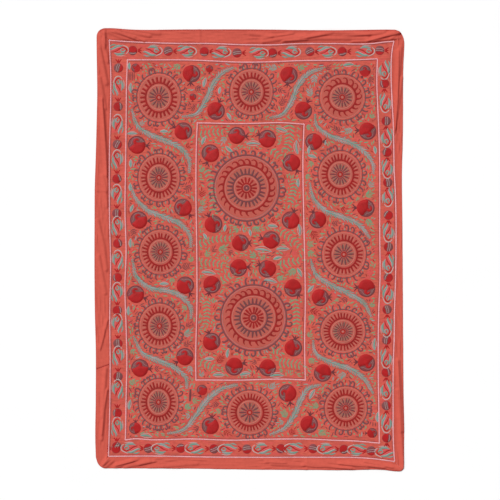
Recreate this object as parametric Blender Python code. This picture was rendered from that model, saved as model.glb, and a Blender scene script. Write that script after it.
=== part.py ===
"""A suzani: an embroidered cloth, laid out flat and face up on a floor.

A wide panel of ground cloth carries all the needlework. Five strips of plain cloth are sewn
round it, mitred at the four corners, with one join part of the way down the left side.
Each piece is a thin sheet that lies on the floor and lifts off it along creases and puckers.
The embroidery itself is fine surface work and is not part of these solids.

Frame: metres, +Z up, the cloth's top edge towards +Y. The origin is on the floor under the
middle of the cloth. Tables are in millimetres, measured from that middle.
"""

from typing import NamedTuple

import bpy
import numpy as np

MM = 0.001

# Cloth thicknesses and the gap kept between sewn pieces.
PANEL_THICK = 1.6 * MM
STRIP_THICK = 1.2 * MM
SEAM_GAP = 0.3 * MM

# The mesh of each sheet: the panel's cells, and how finely the strips divide them.
PANEL_COLUMNS = 30
PANEL_ROWS = 45
STEPS_PER_CELL = 2
STRIP_CELLS_ACROSS = 6
# The left side's join falls on this row of the panel, counted from the top.
JOIN_ROW = 35

# Puckers of the stitched cloth: low waves, cut off level where the cloth touches the floor.
# All of them are at their lowest at the middle of the cloth.
PUCKER_RISE = 1.5 * MM
PUCKER_FLOOR = 0.25
PHASE_AT_MIDDLE = -np.pi / 2

CORAL_BAND = (0.612, 0.112, 0.084, 1.0)
CORAL_GROUND = (0.68, 0.115, 0.076, 1.0)
CLOTH_ROUGHNESS = 0.82


class Point(NamedTuple):
    """A place along one side of the cloth, and how far out the line runs there (mm)."""

    along: float
    out: float


class Corner(NamedTuple):
    """A corner of the hemmed edge: the square corner's place and its rounding (mm)."""

    x: float
    y: float
    radius_x: float
    radius_y: float


class Wave(NamedTuple):
    """A train of low waves: its direction, length over 2 pi (mm), wandering and share."""

    turn_deg: float
    length: float
    wander: float
    wander_length: float
    share: float


class Crease(NamedTuple):
    """A soft ridge between two places (mm), with its rise and its half width (mm)."""

    x0: float
    y0: float
    x1: float
    y1: float
    rise: float
    reach: float


# The hemmed outer edge, side by side. Along runs left to right or top to bottom.
EDGE_TOP = (
    Point(-741, 1074), Point(-666, 1075), Point(-603, 1070), Point(-293, 1069),
    Point(17, 1069), Point(250, 1066), Point(406, 1065), Point(561, 1067),
    Point(697, 1068), Point(751, 1066),
)
EDGE_BOTTOM = (
    Point(-742, -1060), Point(-526, -1060), Point(-215, -1062), Point(17, -1066),
    Point(328, -1068), Point(483, -1069), Point(667, -1069), Point(700, -1074),
    Point(726, -1075), Point(749, -1074),
)
EDGE_LEFT = (
    Point(1074, -741), Point(989, -741), Point(921, -740), Point(766, -738),
    Point(610, -741), Point(455, -745), Point(300, -750), Point(145, -751),
    Point(-166, -751), Point(-321, -749), Point(-476, -745), Point(-709, -745),
    Point(-942, -747), Point(-1060, -742),
)
EDGE_RIGHT = (
    Point(1066, 751), Point(974, 751), Point(921, 748), Point(688, 745),
    Point(533, 744), Point(378, 740), Point(145, 742), Point(-166, 744),
    Point(-476, 746), Point(-709, 748), Point(-864, 751), Point(-995, 750),
    Point(-1074, 749),
)
CORNER_TOP_LEFT = Corner(-741, 1074, 38, 40)
CORNER_TOP_RIGHT = Corner(751, 1066, 44, 62)
CORNER_BOTTOM_LEFT = Corner(-742, -1060, 46, 52)
CORNER_BOTTOM_RIGHT = Corner(749, -1074, 20, 22)

# The seam between the panel and the strips.
SEAM_TOP = (
    Point(-683, 1020), Point(-657, 1018), Point(-560, 1012), Point(-463, 1008),
    Point(-366, 1005), Point(-172, 1004), Point(-75, 1000), Point(22, 998),
    Point(119, 998), Point(216, 1003), Point(410, 1004), Point(604, 1005),
    Point(658, 1012), Point(705, 1015),
)
SEAM_BOTTOM = (
    Point(-687, -1005), Point(-463, -1004), Point(-172, -1009), Point(22, -1010),
    Point(410, -1010), Point(507, -1011), Point(604, -1017), Point(708, -1031),
)
SEAM_LEFT = (
    Point(1020, -683), Point(969, -681), Point(853, -676), Point(737, -676),
    Point(504, -682), Point(155, -682), Point(-78, -677), Point(-311, -681),
    Point(-544, -679), Point(-777, -681), Point(-900, -684), Point(-1005, -687),
)
SEAM_RIGHT = (
    Point(1015, 705), Point(969, 696), Point(853, 691), Point(737, 695),
    Point(620, 701), Point(504, 704), Point(387, 706), Point(271, 712),
    Point(155, 715), Point(38, 715), Point(-78, 714), Point(-195, 711),
    Point(-311, 707), Point(-428, 706), Point(-544, 702), Point(-777, 701),
    Point(-930, 702), Point(-1031, 708),
)

PUCKER_WAVES = (
    Wave(0, 41, 1.3, 170, 1.0),
    Wave(90, 47, 1.1, 150, 1.0),
    Wave(45, 21, 0.0, 100, 0.7),
)

# The main creases: drag lines that run slantwise over the plain strips, fanned folds at the
# corners, and the low cross folds left by storing the cloth folded up.
CREASES = (
    Crease(-700, 1062, -700, 985, 4.0, 9),
    Crease(-662, 1057, -545, 1018, 4.5, 10),
    Crease(-603, 1052, -511, 1013, 4.0, 10),
    Crease(66, 1024, 207, 1048, 4.0, 9),
    Crease(173, 1012, 275, 1019, 3.5, 9),
    Crease(245, 1022, 367, 1041, 4.5, 10),
    Crease(367, 1041, 575, 1042, 4.0, 11),
    Crease(580, 1013, 726, 1050, 5.0, 11),
    Crease(610, 1013, 722, 1025, 3.5, 9),
    Crease(-703, -1039, -678, -1018, 4.5, 10),
    Crease(-642, -1043, -550, -1020, 4.5, 10),
    Crease(-531, -1041, -463, -1027, 4.0, 10),
    Crease(80, -1027, 173, -1032, 3.5, 9),
    Crease(265, -1046, 488, -1060, 4.0, 10),
    Crease(439, -1037, 648, -1055, 5.0, 10),
    Crease(561, -1027, 690, -1053, 4.0, 9),
    Crease(-713, 730, -700, 533, 5.0, 11),
    Crease(-700, 533, -688, 290, 4.0, 11),
    Crease(-690, -350, -722, -476, 4.0, 10),
    Crease(-688, -680, -706, -777, 3.5, 9),
    Crease(-706, -777, -714, -890, 3.5, 9),
    Crease(722, 960, 719, 727, 5.0, 11),
    Crease(719, 727, 706, 575, 4.5, 11),
    Crease(718, -540, 736, -874, 3.5, 10),
    Crease(-745, 286, -690, 284, 2.0, 12),
    Crease(-240, 1010, -240, 1064, 2.0, 12),
    Crease(279, -1062, 279, -1016, 2.0, 12),
)


def smooth_line(table, at):
    """The out value of a table's line at each place along it, without corners."""
    along = np.array([point.along for point in table], float)
    out = np.array([point.out for point in table], float)
    if along[0] > along[-1]:
        along, at = -along, -np.asarray(at, float)
    slope = np.gradient(out, along)
    at = np.clip(at, along[0], along[-1])
    cell = np.clip(np.searchsorted(along, at) - 1, 0, len(along) - 2)
    width = along[cell + 1] - along[cell]
    t = (at - along[cell]) / width
    return (
        (2 * t**3 - 3 * t**2 + 1) * out[cell]
        + (t**3 - 2 * t**2 + t) * width * slope[cell]
        + (3 * t**2 - 2 * t**3) * out[cell + 1]
        + (t**3 - t**2) * width * slope[cell + 1]
    )


def side_line(table, across, start, end, shares):
    """Places (mm) on one side's line: across says whether along is x, as on the top."""
    along = start + (end - start) * np.asarray(shares, float)
    out = smooth_line(table, along)
    return np.stack([along, out] if across else [out, along], axis=1)


def corner_arc(corner, turn):
    """The point (mm) of a rounded corner after a turn from 0 to 1 of its quarter."""
    angle = turn * np.pi / 2
    side_x = np.sign(corner.x)
    side_y = np.sign(corner.y)
    x = corner.x - side_x * corner.radius_x * (1 - np.sin(angle))
    y = corner.y - side_y * corner.radius_y * (1 - np.cos(angle))
    return np.array([x, y])


def hem_line(table, across, first, last, count):
    """The outer edge of one strip: half a corner, the side, and half the next corner."""
    turns = np.linspace(0.5, 0.0, 5) if across else np.linspace(0.5, 1.0, 5)
    opening = [corner_arc(first, turn) for turn in turns]
    closing = [corner_arc(last, turn) for turn in turns[::-1]]
    axis = 0 if across else 1
    side = side_line(table, across, opening[-1][axis], closing[0][axis], np.linspace(0, 1, 60))
    path = np.concatenate([opening[:-1], side, closing[1:]])
    steps = np.linalg.norm(np.diff(path, axis=0), axis=1)
    reached = np.concatenate([[0], np.cumsum(steps)])
    at = np.linspace(0, reached[-1], count)
    return np.stack([np.interp(at, reached, path[:, k]) for k in range(2)], axis=1)


def pucker_lift(x, y):
    """The height (m) of the low waves at places in mm, level where the cloth is down."""
    total = 0.0
    for wave in PUCKER_WAVES:
        turn = np.radians(wave.turn_deg)
        forward = x * np.cos(turn) + y * np.sin(turn)
        aside = y * np.cos(turn) - x * np.sin(turn)
        bend = wave.wander * np.sin(aside / wave.wander_length)
        total = total + wave.share * np.sin(forward / wave.length + bend + PHASE_AT_MIDDLE)
    share = total / sum(wave.share for wave in PUCKER_WAVES)
    return PUCKER_RISE * np.clip(share - PUCKER_FLOOR, 0, None) / (1 - PUCKER_FLOOR)


def lift(places):
    """How far the cloth's underside is off the floor (m) at places in mm."""
    x, y = places[..., 0], places[..., 1]
    height = pucker_lift(x, y)
    for crease in CREASES:
        run = np.array([crease.x1 - crease.x0, crease.y1 - crease.y0])
        length = np.hypot(*run)
        share = ((x - crease.x0) * run[0] + (y - crease.y0) * run[1]) / length**2
        beside = np.abs((x - crease.x0) * run[1] - (y - crease.y0) * run[0]) / length
        beyond = np.clip(np.abs(share - 0.5) - 0.5, 0, None) * length
        away = np.hypot(beside, beyond) / crease.reach
        bump = np.where(away < 2, 0.5 + 0.5 * np.cos(np.pi * np.clip(away, 0, 2) / 2), 0)
        height = np.maximum(height, crease.rise * MM * bump)
    return height


def panel_places():
    """The panel's grid of places (mm), rows from the top, blended from its four seams."""
    u = np.linspace(0, 1, PANEL_COLUMNS + 1)
    v = np.linspace(0, 1, PANEL_ROWS + 1)
    top = side_line(SEAM_TOP, True, SEAM_TOP[0].along, SEAM_TOP[-1].along, u)
    bottom = side_line(SEAM_BOTTOM, True, SEAM_BOTTOM[0].along, SEAM_BOTTOM[-1].along, u)
    left = side_line(SEAM_LEFT, False, SEAM_LEFT[0].along, SEAM_LEFT[-1].along, v)
    right = side_line(SEAM_RIGHT, False, SEAM_RIGHT[0].along, SEAM_RIGHT[-1].along, v)
    ends = (top[0], top[-1], bottom[0], bottom[-1])
    left[0], right[0], left[-1], right[-1] = ends
    u, v = u[None, :, None], v[:, None, None]
    ruled = (1 - v) * top[None] + v * bottom[None] + (1 - u) * left[:, None] + u * right[:, None]
    corners = (1 - v) * ((1 - u) * ends[0] + u * ends[1]) + v * ((1 - u) * ends[2] + u * ends[3])
    return ruled - corners


def finer(line):
    """A line with each of its cells divided into the strips' steps."""
    at = np.arange((len(line) - 1) * STEPS_PER_CELL + 1) / STEPS_PER_CELL
    cells = np.arange(len(line))
    return np.stack([np.interp(at, cells, line[:, k]) for k in range(line.shape[1])], axis=1)


def strip_places(seam, table, across, first, last):
    """A whole side's grid of places (mm), rows from the seam out to the hem."""
    inner = finer(seam)
    outer = hem_line(table, across, first, last, len(inner))
    share = np.linspace(0, 1, STRIP_CELLS_ACROSS + 1)[:, None, None]
    return (1 - share) * inner[None] + share * outer[None]


def trimmed(grid, sides):
    """A grid drawn back by half a seam gap along the named sides."""
    grid = grid.copy()
    half = SEAM_GAP / MM / 2
    for side in sides:
        edge, inside = {
            "first row": (grid[0], grid[1]),
            "last row": (grid[-1], grid[-2]),
            "first column": (grid[:, 0], grid[:, 1]),
            "last column": (grid[:, -1], grid[:, -2]),
        }[side]
        tangent = np.gradient(edge, axis=0)
        normal = np.stack([-tangent[:, 1], tangent[:, 0]], axis=1)
        normal /= np.linalg.norm(normal, axis=1, keepdims=True)
        inward = np.sign(((inside - edge) * normal).sum(axis=1, keepdims=True))
        edge += normal * inward * half
    return grid


def sheet_object(name, places, heights, thickness, colour):
    """One closed sheet from a grid of places (mm) and its underside's heights (m)."""
    rows, columns = heights.shape
    flat = places.reshape(-1, 2) * MM
    under = np.column_stack([flat, heights.ravel()])
    over = under + [0, 0, thickness]
    count = rows * columns
    faces = []
    for row in range(rows - 1):
        for column in range(columns - 1):
            a = row * columns + column
            quad = (a, a + 1, a + columns + 1, a + columns)
            faces.append(quad)
            faces.append(tuple(point + count for point in reversed(quad)))
    rim = [column for column in range(columns - 1)]
    rim += [row * columns + columns - 1 for row in range(rows - 1)]
    rim += [count - 1 - column for column in range(columns - 1)]
    rim += [row * columns for row in range(rows - 1, 0, -1)]
    for here, after in zip(rim, rim[1:] + rim[:1]):
        faces.append((after, here, here + count, after + count))
    mesh = bpy.data.meshes.new(name)
    mesh.from_pydata(np.vstack([under, over]).tolist(), [], faces)
    first = places[0, 1] - places[0, 0]
    second = places[1, 0] - places[0, 0]
    if first[0] * second[1] - first[1] * second[0] > 0:
        mesh.flip_normals()
    mesh.materials.append(cloth_material(name, colour))
    mesh.shade_smooth()
    mesh.set_sharp_from_angle(angle=np.radians(50))
    built = bpy.data.objects.new(name, mesh)
    bpy.context.scene.collection.objects.link(built)
    return built


def cloth_material(name, colour):
    """A plain cloth material in one colour."""
    material = bpy.data.materials.new(name + "_cloth")
    material.use_nodes = True
    shader = material.node_tree.nodes["Principled BSDF"]
    shader.inputs["Base Color"].default_value = colour
    shader.inputs["Roughness"].default_value = CLOTH_ROUGHNESS
    shader.inputs["Metallic"].default_value = 0.0
    return material


def seam_heights(seam):
    """The lift along a panel edge, in straight lines between the panel's own points."""
    return finer(lift(seam)[:, None])[:, 0]


def build_strip(name, grid, seam_lift, sides):
    """One border strip, whose seam edge has just the panel's heights."""
    heights = lift(grid)
    heights[0] = seam_lift
    sheet_object(name, trimmed(grid, sides), heights, STRIP_THICK, CORAL_BAND)


def build():
    """Makes the panel and the five strips."""
    for old in list(bpy.data.objects):
        bpy.data.objects.remove(old)
    panel = panel_places()
    all_sides = ("first row", "last row", "first column", "last column")
    sheet_object("embroidered_panel", trimmed(panel, all_sides), lift(panel), PANEL_THICK, CORAL_GROUND)

    ends = ("first row", "first column", "last column")
    top = strip_places(panel[0], EDGE_TOP, True, CORNER_TOP_LEFT, CORNER_TOP_RIGHT)
    build_strip("border_top", top, seam_heights(panel[0]), ends)
    bottom = strip_places(panel[-1], EDGE_BOTTOM, True, CORNER_BOTTOM_LEFT, CORNER_BOTTOM_RIGHT)
    build_strip("border_bottom", bottom, seam_heights(panel[-1]), ends)
    right = strip_places(panel[:, -1], EDGE_RIGHT, False, CORNER_TOP_RIGHT, CORNER_BOTTOM_RIGHT)
    build_strip("border_right", right, seam_heights(panel[:, -1]), ends)
    left = strip_places(panel[:, 0], EDGE_LEFT, False, CORNER_TOP_LEFT, CORNER_BOTTOM_LEFT)
    left_lift = seam_heights(panel[:, 0])
    join = JOIN_ROW * STEPS_PER_CELL
    build_strip("border_left_upper", left[:, : join + 1], left_lift[: join + 1], ends)
    build_strip("border_left_lower", left[:, join:], left_lift[join:], ends)


build()
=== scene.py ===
"""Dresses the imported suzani: fine cloth, silk needlework and a studio seen from above.

Tables are in millimetres from the middle of the cloth, +x to the right and +y to its top edge.
Everything that is built is in metres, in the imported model's own frame. The needlework is real
low relief: each stroke, petal and leaf is a closed, crowned shape that follows the cloth.
"""

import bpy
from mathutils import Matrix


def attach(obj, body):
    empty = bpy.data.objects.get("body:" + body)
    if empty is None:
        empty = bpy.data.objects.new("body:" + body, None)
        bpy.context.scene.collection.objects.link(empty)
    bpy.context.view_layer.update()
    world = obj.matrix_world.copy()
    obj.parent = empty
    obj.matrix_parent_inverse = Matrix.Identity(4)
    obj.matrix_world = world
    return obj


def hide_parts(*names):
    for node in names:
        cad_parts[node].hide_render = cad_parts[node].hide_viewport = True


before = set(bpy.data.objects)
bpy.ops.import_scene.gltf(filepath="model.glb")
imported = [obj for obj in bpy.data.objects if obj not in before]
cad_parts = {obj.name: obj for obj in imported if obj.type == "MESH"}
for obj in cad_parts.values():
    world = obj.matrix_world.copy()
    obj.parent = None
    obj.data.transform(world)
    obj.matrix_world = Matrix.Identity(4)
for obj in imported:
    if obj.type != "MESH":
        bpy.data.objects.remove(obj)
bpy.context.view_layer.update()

import logging
import math
from dataclasses import dataclass, field
from enum import Enum
from typing import Iterable, NamedTuple, Sequence

import bpy
import numpy as np

LOG = logging.getLogger("suzani")
Array = np.ndarray
Colour = tuple[float, float, float]
Leaflets = list[tuple[Array, float, float]]

MM = 0.001
BODY = "root"
THREAD_MAP = "threads"
# The strips' map: the share from the seam out to the hem, and the share of painted fold shade.
CUT_AND_SHADE_MAP = "cut"
PANEL_THICK = 1.6 * MM
STRIP_THICK = 1.2 * MM
SEAM_GAP = 0.3 * MM
SIDE_STEPS = 60
SHARP_THREAD_DEG = 60
SHARP_CLOTH_DEG = 70
TINY = 1e-9

# The photo's scale and middle, for the camera alone.
METRES_PER_PIXEL = 4.85 * MM
PHOTO_PIXELS = 500
MIDDLE_PIXEL = (249.4, 249.85)


class Point(NamedTuple):
    """A place along one side of the cloth, and how far out the line runs there (mm)."""

    along: float
    out: float


class Corner(NamedTuple):
    """A corner of the hemmed edge: the square corner's place and its rounding (mm)."""

    x: float
    y: float
    radius_x: float
    radius_y: float


class Wave(NamedTuple):
    """A train of low waves: its direction, length over 2 pi (mm), wandering and share."""

    turn_deg: float
    length: float
    wander: float
    wander_length: float
    share: float


class Crease(NamedTuple):
    """A soft ridge between two places (mm), with its rise and its half width (mm)."""

    x0: float
    y0: float
    x1: float
    y1: float
    rise: float
    reach: float


class Sides(NamedTuple):
    """The four sides of a line that runs round the cloth."""

    top: Sequence[Point]
    bottom: Sequence[Point]
    left: Sequence[Point]
    right: Sequence[Point]


def rows_of(kind: type, *rows: tuple) -> tuple:
    """Turns rows of plain values into rows with named columns."""
    return tuple(kind(*row) for row in rows)


def points(*rows: tuple[float, float]) -> tuple[Point, ...]:
    """Turns rows of (along, out) in mm into points."""
    return rows_of(Point, *rows)


EDGE = Sides(
    top=points(
        (-741, 1074), (-666, 1075), (-603, 1070), (-293, 1069), (17, 1069), (250, 1066), (406, 1065),
        (561, 1067), (697, 1068), (751, 1066),
    ),
    bottom=points(
        (-742, -1060), (-526, -1060), (-215, -1062), (17, -1066), (328, -1068), (483, -1069), (667, -1069),
        (700, -1074), (726, -1075), (749, -1074),
    ),
    left=points(
        (1074, -741), (989, -741), (921, -740), (766, -738), (610, -741), (455, -745), (300, -750),
        (145, -751), (-166, -751), (-321, -749), (-476, -745), (-709, -745), (-942, -747), (-1060, -742),
    ),
    right=points(
        (1066, 751), (974, 751), (921, 748), (688, 745), (533, 744), (378, 740), (145, 742), (-166, 744),
        (-476, 746), (-709, 748), (-864, 751), (-995, 750), (-1074, 749),
    ),
)
CORNER_TOP_LEFT = Corner(-741, 1074, 38, 40)
CORNER_TOP_RIGHT = Corner(751, 1066, 44, 62)
CORNER_BOTTOM_LEFT = Corner(-742, -1060, 46, 52)
CORNER_BOTTOM_RIGHT = Corner(749, -1074, 20, 22)

SEAM = Sides(
    top=points(
        (-683, 1020), (-657, 1018), (-560, 1012), (-463, 1008), (-366, 1005), (-172, 1004), (-75, 1000),
        (22, 998), (119, 998), (216, 1003), (410, 1004), (604, 1005), (658, 1012), (705, 1015),
    ),
    bottom=points(
        (-687, -1005), (-463, -1004), (-172, -1009), (22, -1010), (410, -1010), (507, -1011), (604, -1017),
        (708, -1031),
    ),
    left=points(
        (1020, -683), (969, -681), (853, -676), (737, -676), (504, -682), (155, -682), (-78, -677),
        (-311, -681), (-544, -679), (-777, -681), (-900, -684), (-1005, -687),
    ),
    right=points(
        (1015, 705), (969, 696), (853, 691), (737, 695), (620, 701), (504, 704), (387, 706), (271, 712),
        (155, 715), (38, 715), (-78, 714), (-195, 711), (-311, 707), (-428, 706), (-544, 702), (-777, 701),
        (-930, 702), (-1031, 708),
    ),
)

# The two stitched rectangles inside the panel's own edge line.
MIDDLE_LINE = Sides(
    top=points(
        (-591, 921), (-472, 921), (-278, 920), (-181, 916), (-84, 911), (13, 910), (110, 912), (207, 916),
        (498, 921), (621, 926),
    ),
    bottom=points(
        (-601, -922), (-569, -917), (-472, -921), (-278, -917), (-84, -923), (110, -918), (304, -918),
        (401, -923), (498, -926), (630, -937),
    ),
    left=points(
        (921, -591), (824, -595), (659, -597), (426, -600), (193, -603), (-40, -598), (-156, -603),
        (-389, -597), (-505, -594), (-738, -598), (-922, -601),
    ),
    right=points(
        (926, 621), (843, 618), (659, 624), (542, 629), (77, 632), (-156, 633), (-272, 628), (-622, 625),
        (-854, 629), (-937, 630),
    ),
)
INNER_LINE = Sides(
    top=points(
        (-252, 615), (-220, 615), (-65, 612), (13, 613), (168, 616), (265, 609),
    ),
    bottom=points(
        (-259, -631), (-220, -631), (-65, -632), (168, -627), (271, -631),
    ),
    left=points(
        (615, -252), (581, -254), (348, -259), (-1, -255), (-234, -254), (-583, -260), (-631, -259),
    ),
    right=points(
        (609, 265), (581, 264), (465, 260), (232, 262), (-1, 267), (-234, 271), (-466, 268), (-631, 271),
    ),
)

PUCKER_WAVES = rows_of(Wave, (0, 41, 1.3, 170, 1.0), (90, 47, 1.1, 150, 1.0), (45, 21, 0.0, 100, 0.7))
RIPPLE_WAVES = rows_of(Wave, (12, 9.5, 1.6, 46, 1.0), (97, 8.5, 1.9, 58, 1.0), (50, 7.5, 1.2, 37, 0.8))
DRAG_WAVES = rows_of(Wave, (84, 2.9, 3.4, 120, 1.0), (98, 3.6, 2.7, 90, 1.0), (90, 2.1, 2.4, 66, 0.6))
CREASES = rows_of(
    Crease,
    (-700, 1062, -700, 985, 4, 9), (-662, 1057, -545, 1018, 4.5, 10), (-603, 1052, -511, 1013, 4, 10),
    (66, 1024, 207, 1048, 4, 9), (173, 1012, 275, 1019, 3.5, 9), (245, 1022, 367, 1041, 4.5, 10),
    (367, 1041, 575, 1042, 4, 11), (580, 1013, 726, 1050, 5, 11), (610, 1013, 722, 1025, 3.5, 9),
    (-703, -1039, -678, -1018, 4.5, 10), (-642, -1043, -550, -1020, 4.5, 10),
    (-531, -1041, -463, -1027, 4, 10), (80, -1027, 173, -1032, 3.5, 9), (265, -1046, 488, -1060, 4, 10),
    (439, -1037, 648, -1055, 5, 10), (561, -1027, 690, -1053, 4, 9), (-713, 730, -700, 533, 5, 11),
    (-700, 533, -688, 290, 4, 11), (-690, -350, -722, -476, 4, 10), (-688, -680, -706, -777, 3.5, 9),
    (-706, -777, -714, -890, 3.5, 9), (722, 960, 719, 727, 5, 11), (719, 727, 706, 575, 4.5, 11),
    (718, -540, 736, -874, 3.5, 10), (-745, 286, -690, 284, 2, 12), (-240, 1010, -240, 1064, 2, 12),
    (279, -1062, 279, -1016, 2, 12),
)

# Further folds of the border strips, which only the dressed cloth has.
FOLDS = rows_of(
    Crease,
    (-648, 1061, -560, 1029, 5, 10), (-681, 1057, -592, 1017, 4, 9), (-632, 1065, -487, 1037, 5, 10),
    (-721, 1037, -721, 993, 4, 9), (-705, 1049, -697, 998, 4, 9), (-551, 1061, -438, 1049, 4, 9),
    (67, 1009, 270, 1037, 5, 10), (270, 1025, 407, 1057, 5.5, 11), (407, 1057, 569, 1045, 5, 10),
    (3, 1049, 108, 1036, 4, 9), (163, 1013, 326, 1025, 4.5, 10), (326, 1025, 569, 1025, 4.5, 10),
    (504, 1009, 601, 1017, 4, 9), (601, 1017, 706, 1053, 5.5, 11), (455, 1029, 650, 1053, 5, 10),
    (601, 1025, 714, 1045, 4.5, 9), (-705, -1056, -665, -1023, 4, 9), (-648, -1052, -568, -1025, 4.5, 11),
    (-600, -1052, -487, -1025, 4, 11), (-487, -1056, -253, -1035, 3, 9), (286, -1029, 504, -1061, 3.5, 10),
    (383, -1029, 569, -1057, 4, 11), (488, -1029, 730, -1065, 4.5, 12), (108, -1037, 261, -1045, 3, 9),
    (-712, 1019, -684, 914, 5.5, 10), (-725, 979, -692, 809, 6, 11), (-712, 728, -688, 364, 6, 11),
    (-725, 833, -700, 688, 5, 10), (-735, 140, -707, 19, 5, 9), (-707, 19, -694, -94, 5, 9),
    (-731, -30, -699, -208, 4.5, 9), (-711, 358, -687, 213, 5, 10), (-697, -578, -713, -811, 5.5, 10),
    (-693, -683, -717, -917, 5, 9), (-686, -1006, -713, -1051, 5, 9), (733, 979, 721, 809, 5, 10),
    (721, 809, 705, 591, 5, 10), (739, 833, 709, 625, 4, 10), (721, 1052, 688, 1027, 4, 9),
    (722, -538, 742, -877, 5, 9), (718, -683, 746, -1055, 5.5, 9),
)


def srgb(red: float, green: float, blue: float) -> Colour:
    """Turns a colour as a screen shows it, 0 to 255, into the linear one that shaders take.

    Args:
        red: Screen red.
        green: Screen green.
        blue: Screen blue.

    Returns:
        The linear colour.
    """
    screen = np.array([red, green, blue]) / 255
    linear = np.where(screen <= 0.04045, screen / 12.92, ((screen + 0.055) / 1.055) ** 2.4)
    return tuple(float(value) for value in linear)


def hermite(known: Array, values: Array, at: Array) -> Array:
    """Reads a smooth curve through known values, with central differences as its slopes.

    Args:
        known: Where the values are known, rising.
        values: The values, one row for each.
        at: Where to read the curve.

    Returns:
        The curve's values there.
    """
    slope = np.gradient(values, known, axis=0)
    at = np.clip(at, known[0], known[-1])
    cell = np.clip(np.searchsorted(known, at) - 1, 0, len(known) - 2)
    width = known[cell + 1] - known[cell]
    t = (at - known[cell]) / width
    if values.ndim > 1:
        t, width = t[:, None], width[:, None]
    return (
        (2 * t**3 - 3 * t**2 + 1) * values[cell]
        + (t**3 - 2 * t**2 + t) * width * slope[cell]
        + (3 * t**2 - 2 * t**3) * values[cell + 1]
        + (t**3 - t**2) * width * slope[cell + 1]
    )


def side_line(table: Sequence[Point], across: bool, start: float, end: float, shares: Array) -> Array:
    """Gives places on one side's line.

    Args:
        table: The side's points.
        across: Whether the side runs along x, as the top does.
        start: Where along the side to begin (mm).
        end: Where along the side to stop (mm).
        shares: How far from start to end each place is.

    Returns:
        The places (mm), one row for each share.
    """
    along = np.array([point.along for point in table], float)
    out = np.array([point.out for point in table], float)
    wanted = start + (end - start) * np.asarray(shares, float)
    rising = 1 if along[0] < along[-1] else -1
    read = hermite(rising * along, out, rising * wanted)
    return np.stack([wanted, read] if across else [read, wanted], axis=1)


def lengths(path: Array) -> Array:
    """Gives how far along a path each of its places is, starting at 0."""
    steps = np.linalg.norm(np.diff(path, axis=0), axis=1)
    return np.concatenate([[0], np.cumsum(steps)])


def read_path(path: Array, known: Array, at: Array) -> Array:
    """Reads places on the straight lines of a path.

    Args:
        path: The path's corners.
        known: A rising number for each corner, such as its length from the start.
        at: The numbers to read the path at.

    Returns:
        A place for each number.
    """
    return np.stack([np.interp(at, known, column) for column in path.T], axis=1)


def quarter_turn(ahead: Array) -> Array:
    """Gives unit vectors that are a quarter turn anticlockwise from the given ones."""
    normal = np.stack([-ahead[:, 1], ahead[:, 0]], axis=1)
    return normal / np.maximum(np.linalg.norm(normal, axis=1, keepdims=True), TINY)


def smooth_path(points: Sequence[Sequence[float]], count: int) -> Array:
    """Gives evenly spaced places on a smooth curve through a few points.

    Args:
        points: The curve's points.
        count: How many places to give.

    Returns:
        The places, one row for each.
    """
    points = np.asarray(points, float)
    reached = lengths(points)
    return hermite(reached, points, np.linspace(0, reached[-1], count))


def round_path(sides: Sides, inset: float) -> Array:
    """Gives the path of a stitched rectangle, clockwise from its top left (mm).

    Args:
        sides: The lines that it follows.
        inset: How far inside them it runs (mm).

    Returns:
        The path, without its first place repeated.
    """
    ends = (
        (sides.left[0].out, sides.right[0].out),
        (sides.top[-1].out, sides.bottom[-1].out),
        (sides.right[-1].out, sides.left[-1].out),
        (sides.bottom[0].out, sides.top[0].out),
    )
    tables = (sides.top, sides.right, sides.bottom, sides.left)
    pushes = ((0, -inset), (-inset, 0), (0, inset), (inset, 0))
    runs = []
    for number, (table, (start, end), push) in enumerate(zip(tables, ends, pushes)):
        ward = math.copysign(inset, end - start)
        run = side_line(table, number % 2 == 0, start + ward, end - ward, np.linspace(0, 1, SIDE_STEPS))
        runs.append(run[:-1] + np.array(push))
    return np.concatenate(runs)


def add_object(name: str, data: bpy.types.ID) -> bpy.types.Object:
    """Makes an object of a mesh, curve, light or camera and links it to the scene."""
    made = bpy.data.objects.new(name, data)
    bpy.context.scene.collection.objects.link(made)
    return made


def new_mesh(name: str, vertices: Sequence, faces: Sequence) -> bpy.types.Mesh:
    """Makes a mesh from its vertices (m) and faces."""
    mesh = bpy.data.meshes.new(name)
    mesh.from_pydata(vertices, [], faces)
    return mesh


def write_map(
    mesh: bpy.types.Mesh, name: str, values: Array, changes: Iterable[tuple[int, float]] = ()
) -> None:
    """Writes one of a mesh's maps.

    Args:
        mesh: The mesh.
        name: The map's name.
        values: A pair of values for each vertex.
        changes: Face corners whose second value is another one, each with that value.
    """
    corners = np.zeros(len(mesh.loops), dtype=np.int32)
    mesh.loops.foreach_get("vertex_index", corners)
    laid = values[corners]
    for corner, value in changes:
        laid[corner, 1] = value
    layer = mesh.uv_layers.get(name) or mesh.uv_layers.new(name=name)
    layer.data.foreach_set("uv", laid.ravel())


def circle(count: int, reach: float = 1.0) -> Array:
    """Gives places round a circle, anticlockwise from +x, without repeating the first."""
    angle = np.arange(count) * 2 * math.pi / count
    return reach * np.stack([np.cos(angle), np.sin(angle)], axis=1)


def polar(angle: Array | float, reach: Array | float) -> Array:
    """Gives the places at angles (radians) and reaches from a middle."""
    return np.stack([reach * np.cos(angle), reach * np.sin(angle)], axis=-1)


@dataclass(frozen=True)
class Spot:
    """A local frame on the cloth: its origin (mm), its turn (radians) and its two units (mm)."""

    x: float
    y: float
    turn: float = 0.0
    unit_x: float = 1.0
    unit_y: float = 1.0

    def at(self, points: Sequence[Sequence[float]] | Array) -> Array:
        """Turns points in the local frame into places on the cloth (mm)."""
        local = np.asarray(points, float) * (self.unit_x, self.unit_y)
        cosine, sine = math.cos(self.turn), math.sin(self.turn)
        x = self.x + local[..., 0] * cosine - local[..., 1] * sine
        y = self.y + local[..., 0] * sine + local[..., 1] * cosine
        return np.stack([x, y], axis=-1)


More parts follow.
